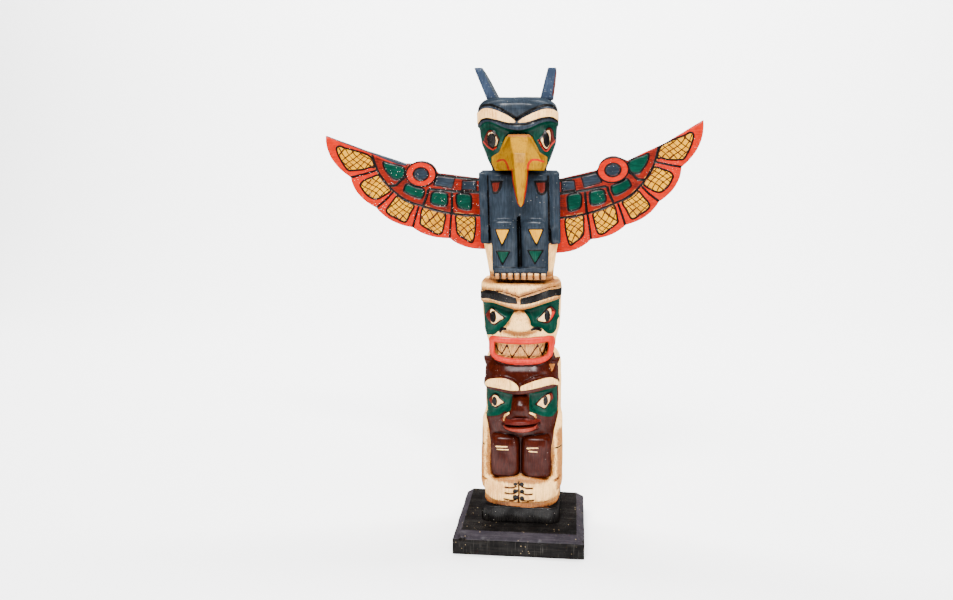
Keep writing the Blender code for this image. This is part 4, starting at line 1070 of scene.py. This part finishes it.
# Drawn in millimetres on the left wing and scaled for the right one; the notches are shares of span and height.
wingDrawing = {
    "notches": [(0.847, 0.339), (0.690, 0.070), (0.464, -0.105), (0.231, -0.200)],
    "redLine": [[(171.5, 82.7), (149.3, 74.1), (127.1, 66.1), (108.5, 58.7), (96.9, 54.2), (87.6, 51.9)]],
    "row": [[(122.5, 63.3), (116.9, 47.4), (111.2, 38.8), (104.3, 30.2), (97.4, 24), (90.4, 18.8), (79.9, 13.7),
             (70.6, 10.9), (56.6, 6.9), (45, 4.1), (31.1, 1.9), (6.8, 0.7), (-6, 0.5)]],
    "feathers": [[(146.5, 40.4), (132.3, 43.9), (118.1, 47.9)], [(119.4, 8.3), (109.2, 16.4), (101.5, 24.5)],
                 [(79.6, -11.7), (76.6, -0.7), (73.5, 9.1)], [(39.9, -22.9), (39.3, -10.8), (38.1, 1.9)]],
    "ochre": [[(161.2, 70.7), (157.5, 73.5), (151.7, 71.3), (140, 68.4), (124.9, 62.7), (120.4, 51.9), (125.1, 51.3),
               (132.2, 49), (144, 47.9), (149.9, 49), (157.9, 61)],
              [(136, 33), (132.4, 37), (124.1, 40.5), (115.8, 42.8), (110.1, 35.9), (103.2, 27.9), (109.1, 22.2),
               (119.8, 17.5), (129.2, 22.1), (134.9, 29.6)],
              [(108.2, 6), (102.2, 14.2), (95.7, 21.1), (88.1, 16), (78.2, 11.4), (82.4, 2.7), (86, -4.8),
               (89.6, -6.5), (98.9, -2), (104.8, 0.9)],
              [(68.3, 9.2), (56.7, 5.8), (45, 3), (45.7, -7.4), (48.6, -17.8), (54.5, -19), (62.7, -14.4),
               (70.8, -9.3), (71.4, -5.3)],
              [(32.8, 1.9), (23, 0.3), (13.2, -0.2), (12.6, -14), (15.5, -27.3), (21.9, -25.1), (31.2, -18.8),
               (32.9, -8.4)]],
    "green": [[(110.9, 56.5), (103.9, 55.3), (88.8, 50.8), (89.5, 40.6), (98.3, 38.3), (104.1, 42.8), (108.7, 48.5)],
              [(89.1, 27.4), (85.5, 33.7), (76.2, 30.3), (67, 27.5), (69.9, 18.9), (78.7, 20.6), (86.8, 24.6)],
              [(57.1, 25.3), (43.8, 24.2), (42, 19), (43.2, 11.6), (52, 11), (59.5, 13.8), (60, 19)],
              [(32, 23.1), (18.3, 22.6), (16.6, 14.6), (17.8, 7.2), (26.4, 7.7), (31.6, 11.1)]],
    "strips": [[(53.5, 42.3), (34.4, 40.1), (36.8, 29.3), (57, 32.7)],
               [(26.4, 37.3), (11.4, 37.4), (11.4, 27.2), (27, 27.7)]],
    "inner": [[(87.8, 40.6), (92.5, 37.1), (97.2, 32.5), (104.3, 31.4)], [(62.9, 27), (64.1, 21.2), (67.7, 12.6)],
              [(37.4, 23.1), (37.4, 9.9), (37.5, 3.6)], [(60.6, 28.4), (44.9, 27.0), (27.6, 25.8), (4.6, 25.2)]],
    "topLine": [[(56, 45.2), (53.5, 43.5), (33.3, 40.7), (11.4, 38.5), (2, 38)]],
    # the ring's half sizes, not scaled
    "ring": {"outer": (17.0, 13.8), "red": (15.2, 12.1), "inner": (9.0, 7.6), "middle": (7.0, 5.7)},
}

wingCoats = ("red", "ochre", "green", "blue", "black", "tan")


def wingOutline(size):
    # the board's outline: the top edge with the ring's hump, then the tips of five feathers
    dip = size["dip"] / size["height"]
    end, top, foot = wingLook["root"]
    x0, z0, halfX, halfZ = wingLook["ring"]
    points = [(end, top), (0.066, 0.340), (0.30, 0.380)]
    for k in range(7):
        angle = math.radians(12 + 113 * k / 6)
        points.append((x0 - halfX * math.cos(angle), z0 + halfZ * math.sin(angle)))
    corners = [(1.0, 0.709)] + wingDrawing["notches"] + [(0.039, foot)]
    points += [(0.506, 0.466 - dip), (0.60, 0.512 - dip), (0.75, 0.58 - dip), corners[0]]
    for (ax, az), (bx, bz) in zip(corners, corners[1:]):
        for t in np.arange(1, 9) / 8:
            bulge = -0.115 * 4 * t * (1 - t)
            points.append((ax + (bx - ax) * t + (bz - az) * bulge, az + (bz - az) * t + (ax - bx) * bulge))
    points.append((end, foot))
    return np.array(points) * (size["span"], size["height"])


def slantingRows(x, z):
    # two sets of slanting lines, a little uneven
    bend = 1.5 * np.sin(x / 7.0 + 1.0) + 1.3 * np.sin(z / 5.0 + x / 19.0)
    return (x + z) * math.sqrt(0.5) + bend, (x - z) * math.sqrt(0.5) - bend


class WingBoard:
    def __init__(self, name):
        size, drawn, draw = wingSizes[name], wingSizes["left_wing"], wingDrawing
        across, tall = size["span"], size["height"]
        self.size = size
        self.scale = np.array((across / drawn["span"], tall / drawn["height"]))
        self.sheet = sheet = Sheet((-8.0, -44.0), (180.0, 96.0), 0.4)
        self.outline = sheet.inside(wingOutline(size), reach=9.0)
        self.layers = {"strips": sheet.inside(*[self.own(line) for line in draw["strips"]])}
        for name in ("ochre", "green"):
            self.layers[name] = sheet.inside(*[bendThrough(self.own(line)) for line in draw[name]])
        for name in ("feathers", "inner", "row", "redLine", "topLine"):
            self.layers[name] = sheet.near(*[bendThrough(self.own(line), False) for line in draw[name]])
        # the parts of the board above the feather row and above the red line
        for name, line, closing in (("upper", "row", [(-20, 0), (-20, 60), (60, 90), (150, 120)]),
                                    ("edge", "redLine", [(80, 62), (90, 100), (200, 130)])):
            self.layers[name] = sheet.inside(self.own(draw[line][0] + closing))
        for part, (halfX, halfZ) in draw["ring"].items():
            ring = ellipse(wingLook["ring"][0] * across, wingLook["ring"][1] * tall, halfX, halfZ, 36)
            self.layers["ring " + part] = sheet.inside(ring)
        raised = sheet.blank(0)
        for layer, (depth, width) in wingLook["cuts"].items():
            raised -= depth * (1 - softStep(self.layers[layer], 0.2, width))
        for layer, depth in wingLook["panels"].items():
            raised -= depth * (1 - softStep(np.abs(self.layers[layer]), 0.2, 1.1))
        x, z = np.meshgrid(sheet.xs, sheet.zs, indexing="ij")
        half = wingLook["surface"]["hatch"]
        rows = [np.abs((row + half) % (2 * half) - half) for row in slantingRows(x, z)]
        raised -= 0.4 * (1 - softStep(np.minimum(*rows), 0.1, 0.8)) * softStep(self.layers["ochre"], 0.0, 0.8)
        boss = softStep(self.layers["ring outer"], -0.8, 0.8)
        raised = raised * (1 - boss) + boss * (1.2 - 1.0 * softStep(self.layers["ring middle"], -1.2, 0.6))
        raised -= 0.6 * (1 - softStep(np.abs(self.layers["ring outer"]), 0.2, 1.1))
        self.raised = raised

    def own(self, points):
        return np.array(points, float) * self.scale

    def field(self, x, y, z):
        behind = self.sheet.read(self.outline, x, z)
        front = -y - self.sheet.read(self.raised, x, z)
        back = y - wingLook["thickness"]
        value = softMost(softMost(front, back, 1.0), -behind, 1.7)
        return value + 0.5 * handMade(x, y * 2, z)


def carveWing(name):
    board = WingBoard(name)
    size = board.size
    step = wingLook["voxel"]
    xs = np.arange(wingLook["root"][0] * size["span"] - 2, size["span"] + 3, step)
    ys = np.arange(-3.5, wingLook["thickness"] + 3, step)
    zs = np.arange(-0.31 * size["height"] - 3, 0.74 * size["height"], step)
    points, faces = carve(board.field, xs, ys, zs)
    if size["hand"] < 0:
        faces = faces[:, ::-1]
    x, y, z = points.T
    paint = Painting(("rust", *wingCoats), len(points), "rust")
    read = {key: board.sheet.read(layer, x, z) for key, layer in board.layers.items()}
    front = 3.0 - y

    def lay(coat, *insides):
        paint.lay(coat, np.min([*insides, front], 0))

    lay("red", -read["upper"])
    lay("ochre", read["ochre"])
    lay("tan", 0.9 - np.abs(read["row"] - 1.3), read["ochre"] + 2.2)
    paint.lay("blue", np.minimum(read["edge"], 7.0 - y))  # over the board's top edge too
    lay("red", 0.8 - read["redLine"])
    lay("green", read["green"])
    lay("blue", read["strips"])
    lay("black", 0.6 - np.abs(read["strips"]))
    for key, width in wingLook["lines"].items():
        lay("black", width - read[key], -read["ring outer"])
    for coat, ring in (("black", "outer"), ("red", "red"), ("black", "inner"), ("blue", "middle")):
        lay(coat, read["ring " + ring])
    panels = np.maximum(read["green"], read["ochre"])
    values = {**paint.values(), **wear(points, board.field)}
    values["outlined"] = np.where(front > 0, np.maximum(panels, -paintReach), -paintReach)
    values["hatched"] = np.where(front > 0, read["ochre"], -paintReach)
    values["rowA"], values["rowB"] = slantingRows(x, z)
    look = dict(wingLook["surface"], specks=wingLook["surface"]["specks"] * size["specks"])
    print(name, "carved:", len(faces), "faces")
    return newPiece("carved_" + name, fromWing(size, points), faces, values,
                    paintedWood("painted " + name.replace("_", " "), wingCoats, "rust", look))


beakCoats = ("shadedPlateYellow", "shadedFacetOchre", "lineRed", "red", "tan")
beakLook = {
    "voxel": 0.7,
    # down the hook, as shares of its drop: its half width in shares of the log's, its rear and its face in shares of
    # the beak's reach
    "hookEnds": [-0.35, 0.0, 0.35, 0.68, 0.9, 1.0],
    "hookHalf": [0.19, 0.195, 0.170, 0.125, 0.080, 0.03],
    "hookRear": [0.52, 0.50, 0.50, 0.60, 0.72, 0.80],
    "hookFace": [0.88, 0.99, 1.0, 0.985, 0.96, 0.93],
    "mouth": {"lineRed": [(-19.5, 402.6), (-15, 404), (-11.3, 403.8), (-8.4, 400), (-6.6, 394), (-4.8, 386),
                          (-2.4, 377), (-0.6, 367)],
              "red": [(26.5, 402.4), (21, 404.2), (15.9, 403.9), (12.6, 399.4), (12.2, 392), (11.4, 384), (10, 376),
                      (8.6, 367)]},
    "surface": {
        "brush": (1.2, 1.2, 7.0), "wobble": 0.5, "stainAndShadeEnds": (0.35, 1.0), "stainAndShade": 0.85,
        "stainAndShadeColour": (0.42, 0.22, 0.10), "wornEnds": (1.1, 1.5), "worn": 0.35, "wornColour": (0.86, 0.56, 0.16),
        "speckGap": 3.1, "specks": 0.8, "speckPatches": (0.38, 0.54), "speckColour": (0.12, 0.035, 0.010),
        "mottle": 0.40, "dull": 0.0, "lacquer": 0.22, "bump": 0.45,
    },
}


def hookHalf(up):
    # how far down the hook a height is and the hook's half width there
    share = (0.02 * headHeight - up) / headLook["drop"]
    return share, np.interp(share, beakLook["hookEnds"], beakLook["hookHalf"]) * headWide


def beakField(x, y, z):
    across, deep, up = headFrame(x, y, z)
    seat, reach, drop = headLook["seat"], headLook["reach"], headLook["drop"]
    plates = softMost(softMost(-plateSheet.read(plateInside, across, up), deep - seat, 0.6),
                      seat - 0.24 * reach - deep + 0.10 * np.abs(across), 1.6)
    side = np.abs(across)
    # the ridge: broad where it meets the plates, flat along its crest
    zs = np.array([0.03, 0.12, 0.25, 0.43, 0.49]) * headHeight
    foot = np.interp(up, zs, [0.50, 0.54, 0.44, 0.28, 0.22]) * headWide
    crest = np.interp(up, zs, [0.115, 0.12, 0.15, 0.20, 0.19]) * headWide
    jut = np.interp(up, zs, [0.99, 0.97, 0.90, 0.62, 0.40])
    low = seat - 0.1 * reach
    top = seat - jut * reach
    shoulder = low + 0.35 * (top - low)
    slope = (shoulder - top) / np.maximum(foot - crest, 1)
    facet = (top + slope * (side - crest) - deep) / np.sqrt(1 + slope ** 2)
    ridge = softMost(softMost(facet, top - deep, 1.2), side - foot, 1.2)
    ridge = softMost(ridge, np.maximum(zs[0] - up, up - zs[-1]), 1.0)
    share, half = hookHalf(up)
    rear = seat - np.interp(share, beakLook["hookEnds"], beakLook["hookRear"]) * reach
    face = seat - np.interp(share, beakLook["hookEnds"], beakLook["hookFace"]) * reach
    middle = (rear + face) / 2
    lean = (middle - face) / np.maximum(0.45 * half, 0.5)
    cheek = (face + lean * (side - 0.55 * half) - deep) / np.sqrt(1 + lean ** 2)
    hook = softMost(softMost(cheek, face - deep, 0.8), softMost(deep - rear, side - half, 0.8), 0.8)
    hook = softMost(hook, np.maximum(share - 1.0, beakLook["hookEnds"][0] - share) * drop, 1.0)
    value = softLeast(softLeast(plates, ridge, 0.7), hook, 1.4)
    return value + 0.7 * handMade(x, y, z)


def carveBeak():
    low, high = (np.array(corner) * 1000 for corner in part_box("beak"))
    points, faces = carve(beakField, *(np.arange(a - 2.5, b + 3, beakLook["voxel"]) for a, b in zip(low, high)))
    x, y, z = points.T
    across = x - bow(z)
    paint = Painting(("beakYellow", *beakCoats), len(points), "beakYellow")
    side, deep, up = headFrame(x, y, z)
    crest = np.interp(up, [-36, 1.5, 9, 19, 32, 37], [1.4, 5.0, 5.0, 6.3, 8.4, 8.0])
    plates = deep - (headLook["seat"] - 0.30 * headLook["reach"] + 0.10 * np.abs(side))
    # the cheek plates get a darker copy of the beak's yellow as painted shade
    paint.lay("shadedPlateYellow", np.minimum(plates, np.abs(side) - crest))
    # the left side facet, which faces sideways, gets a darker ochre as painted shade
    paint.lay("shadedFacetOchre", np.minimum(-side - crest - 0.3, -plates))
    for coat, line in beakLook["mouth"].items():
        paint.lay(coat, 1.0 - frontSheet.read(frontSheet.near(bendThrough(line, False)), across, z))
    # the red goes on down both edges of the hook
    edge = 0.58 - np.abs(np.abs(side) - hookHalf(up)[1] + 0.45)
    paint.lay("lineRed", np.min([edge, 4.0 - up, headLook["seat"] - 22.0 - deep], 0))
    # the ragged line of glue along the top
    paint.lay("tan", z - 426.6 + 0.9 * np.sin(x * 0.9) * np.sin(x * 0.37 + 1.0))
    print("beak carved:", len(faces), "faces")
    return newPiece("carved_beak", points, faces, {**paint.values(), **wear(points, beakField)},
                    paintedWood("painted beak", beakCoats, "beakYellow", beakLook["surface"]))


hornCoats = ("maroon", "black", "pale")
hornLook = {
    "voxel": 0.6, "height": 31.8, "thickness": 8.2, "depth": 19.0, "spacing": 54.0, "sink": 2.5, "front": -18.04,
    "lean": {"left_horn": 20.5, "right_horn": 15.5}, "spread": 0.17, "foot": 3.0,
    # seen from the side, as shares of depth and height
    "outline": [(0.0, 0.0), (0.0, 0.95), (0.14, 1.0), (0.55, 0.86), (0.83, 0.55), (0.97, 0.22), (1.0, 0.0)],
    "surface": {
        "brush": (1.2, 1.2, 8.0), "wobble": 0.5, "stainAndShadeEnds": (0.5, 1.1), "stainAndShade": 0.6,
        "stainAndShadeColour": (0.35, 0.28, 0.25), "wornEnds": (0.95, 1.35), "worn": 0.8, "wornColour": (0.30, 0.34, 0.36),
        "speckGap": 2.0, "specks": 0.7, "speckPatches": (0.40, 0.55), "speckColour": (0.50, 0.50, 0.48), "mottle": 0.34,
        "dull": 0.02, "lacquer": 0.35, "bump": 0.5,
    },
}


def carveHorn(name):
    hand = -1 if name == "left_horn" else 1
    look = hornLook
    halfThick = look["thickness"] / 2
    outline = np.array(look["outline"]) * (look["depth"], look["height"])
    sheet = Sheet((-5.0, -5.0), (25.0, 38.0), 0.3)
    inside = sheet.inside(outline, reach=9.0)

    def rightFace(deep, up):
        # spreads towards the back and the foot
        return halfThick + look["spread"] * deep + look["foot"] * (1 - up / look["height"])

    def field(across, deep, up):
        value = softMost(-sheet.read(inside, deep, up), np.maximum(-across - halfThick, across - rightFace(deep, up)),
                         1.3)
        return value + 0.6 * handMade(across + 30 * hand, deep, up)

    step = look["voxel"]
    points, faces = carve(field, np.arange(-halfThick - 2, rightFace(look["depth"], 0) + 2.5, step),
                          np.arange(-2, look["depth"] + 2.5, step), np.arange(-2, look["height"] + 2.5, step))
    values = wear(points, field)
    across, deep, up = points.T
    # the foot, where the board sits in the crown, is darkened further with the hollows' stain and painted shade
    foot = 1 - softStep(up, 1.0, 4.5)
    values["hollow"] = np.clip(values["hollow"] + foot, 0, 1.5)
    outer = sheet.read(inside, deep, up)
    paint = Painting(("hornBlue", *hornCoats), len(points), "hornBlue")
    right = across - rightFace(deep, up) + 0.9
    side = np.minimum(right if hand > 0 else -across - halfThick + 1.0, up - 4.0)
    paint.lay("black", np.minimum(outer - 1.0, side))
    paint.lay("maroon", np.minimum(outer - 2.0, side))
    if hand < 0:
        paint.lay("pale", right - 0.4 * np.sin(up * 1.3))
    values.update(paint.values())
    # leaned outwards on the crown and turned with the head
    lean = math.tan(math.radians(look["lean"][name]))
    x = hand * (look["spacing"] / 2 + up * lean) + across
    y = look["front"] + deep
    z = logShape["top"] + up - look["sink"]
    c, s = turning(headTurn)
    placed = np.stack([x * c - y * s + bow(z), x * s + y * c + logShape["setBack"], z], 1)
    print(name, "carved:", len(faces), "faces")
    return newPiece("carved_" + name, placed, faces, values,
                    paintedWood("painted " + name.replace("_", " "), hornCoats, "hornBlue", hornLook["surface"]))


baseLook = {
    "voxel": 1.2, "half": 68.0, "edgeHeight": 16.3, "height": 23.6, "inset": 8.2,
    # knocks and chips along the edges: where they are and how big
    "knocks": [(-58, -66, 17.5, 5.0), (-36, -68.5, 16.8, 2.6), (22, -68.8, 16.5, 2.2), (66, -61, 16.5, 3.2),
               (68.5, 20, 15.0, 2.4), (-68.6, 36, 15.8, 3.0), (40, 68.4, 16.0, 2.6)],
    "surface": {
        "brush": (26.0, 1.6, 1.6), "wobble": 0.5, "streaks": 0.35, "stainAndShadeEnds": (0.6, 1.2), "stainAndShade": 0.5,
        "stainAndShadeColour": (0.5, 0.45, 0.4), "wornEnds": (0.92, 1.35), "worn": 0.75, "wornColour": (0.060, 0.055, 0.048),
        "speckGap": 5.0, "specks": 0.6, "speckPatches": (0.45, 0.58), "speckColour": (0.30, 0.22, 0.12), "mottle": 0.6,
        "dull": 0.02, "lacquer": 0.13, "bump": 0.8,
    },
}


def baseField(x, y, z):
    look = baseLook
    rise, run = look["height"] - look["edgeHeight"], look["inset"]
    long = math.hypot(rise, run)
    value = -60.0
    for side in (x, -x, y, -y):
        flat = side - look["half"]
        slant = (rise * (side - look["half"]) + run * (z - look["edgeHeight"])) / long
        value = softMost(value, softMost(flat, slant, 0.5), 0.9)
    value = softMost(softMost(value, z - look["height"], 0.5), -z, 0.8)
    for cx, cy, cz, size in look["knocks"]:
        value = softMost(value, 0.35 * (size - np.sqrt((x - cx) ** 2 + (y - cy) ** 2 + (z - cz - 1.6) ** 2)), 0.8)
    return value + 0.8 * handMade(x, y, z)


def carveBase():
    step, half = baseLook["voxel"], baseLook["half"]
    xs = np.arange(-half - 3, half + 4, step)
    points, faces = carve(baseField, xs, xs, np.arange(-2.0, 26.5, step))
    points[:, 2] = np.maximum(points[:, 2], 0.0)  # it stands flat
    values = wear(points, baseField)
    print("base cut:", len(faces), "faces")
    x, y, z = points.T
    # the bevel is painted a lighter grey, a painted sheen for the light it catches
    bevelSheen = 1.6 - np.abs(np.maximum(np.abs(x), np.abs(y)) - half + baseLook["inset"] / 2) / 2.6
    bevelSheen = np.clip(bevelSheen, -paintReach, paintReach)
    values["bevelSheenGrey"] = np.where(z > baseLook["edgeHeight"] - 0.4, bevelSheen, -paintReach)
    return newPiece("bevelled_base", points, faces, values,
                    paintedWood("painted base", ("bevelSheenGrey",), "black", baseLook["surface"]))


pieces = {"pole": carvePole(), "left_wing": carveWing("left_wing"), "right_wing": carveWing("right_wing"),
          "beak": carveBeak(), "left_horn": carveHorn("left_horn"), "right_horn": carveHorn("right_horn"),
          "base": carveBase()}
for node, piece in pieces.items():
    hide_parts(node)
    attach(piece, "root")
print("pieces placed")


# the lights' powers are in watts, the camera's angles in degrees
studioLook = {
    "floor": (0.98, 0.98, 0.98), "world": 0.20, "key": 102.0, "fill": 20.0, "spark": 28.0, "backdrop": 125.0,
    "lens": 33.97, "cameraPlace": (0.0514754, -0.940982, 0.4064918), "cameraDown": 9.004, "cameraTurn": 6.165,
}


def makeFloor():
    # a pale floor that sweeps up behind the pole
    front, bend, radius, top, half = -5.0, 1.2, 0.8, 2.6, 9.0
    turns = np.arange(1, 13) * math.pi / 24
    sweep = [(bend + radius * math.sin(turn), radius - radius * math.cos(turn)) for turn in turns]
    line = [(front, 0.0), (bend, 0.0), *sweep, (bend + radius, top)]
    points = [(x, y, z) for y, z in line for x in (-half, half)]
    mesh = bpy.data.meshes.new("floor")
    mesh.from_pydata(points, [], [(2 * k, 2 * k + 1, 2 * k + 3, 2 * k + 2) for k in range(len(line) - 1)])
    mesh.shade_smooth()
    floor = bpy.data.objects.new("floor", mesh)
    material = bpy.data.materials.new("pale floor")
    material.use_nodes = True
    shader = material.node_tree.nodes["Principled BSDF"]
    shader.inputs["Base Color"].default_value = (*studioLook["floor"], 1.0)
    shader.inputs["Roughness"].default_value = 0.9
    mesh.materials.append(material)
    bpy.context.collection.objects.link(floor)
    return floor


def softLight(name, place, aim, size, power):
    light = bpy.data.lights.new(name, "AREA")
    light.shape = "RECTANGLE"
    light.size, light.size_y = size
    light.energy = power
    lamp = bpy.data.objects.new(name, light)
    lamp.location = place
    lamp.rotation_euler = (Vector(aim) - Vector(place)).to_track_quat("-Z", "Y").to_euler()
    bpy.context.collection.objects.link(lamp)


makeFloor()
softLight("key softbox", (-0.3, -1.35, 1.7), (0, 0, 0.25), (0.8, 0.6), studioLook["key"])
softLight("fill softbox", (1.5, -1.2, 0.6), (0, 0, 0.25), (0.8, 1.0), studioLook["fill"])
softLight("small lamp", (0.36, -1.15, 1.3), (0, 0, 0.35), (0.16, 0.16), studioLook["spark"])
for side in (-1, 1):
    softLight("backdrop light", (side * 1.0, 0.5, 1.9), (side * 0.7, 1.9, 0.4), (1.6, 0.5), studioLook["backdrop"])

world = bpy.data.worlds.new("studio")
world.use_nodes = True
world.node_tree.nodes["Background"].inputs["Color"].default_value = (1.0, 1.0, 1.0, 1.0)
world.node_tree.nodes["Background"].inputs["Strength"].default_value = studioLook["world"]
bpy.context.scene.world = world

camera = bpy.data.objects.new("camera", bpy.data.cameras.new("camera"))
camera.data.sensor_width = 36.0
camera.data.lens = studioLook["lens"]
camera.location = studioLook["cameraPlace"]
camera.rotation_euler = (math.radians(90 - studioLook["cameraDown"]), 0.0, math.radians(studioLook["cameraTurn"]))
bpy.context.collection.objects.link(camera)
bpy.context.scene.camera = camera
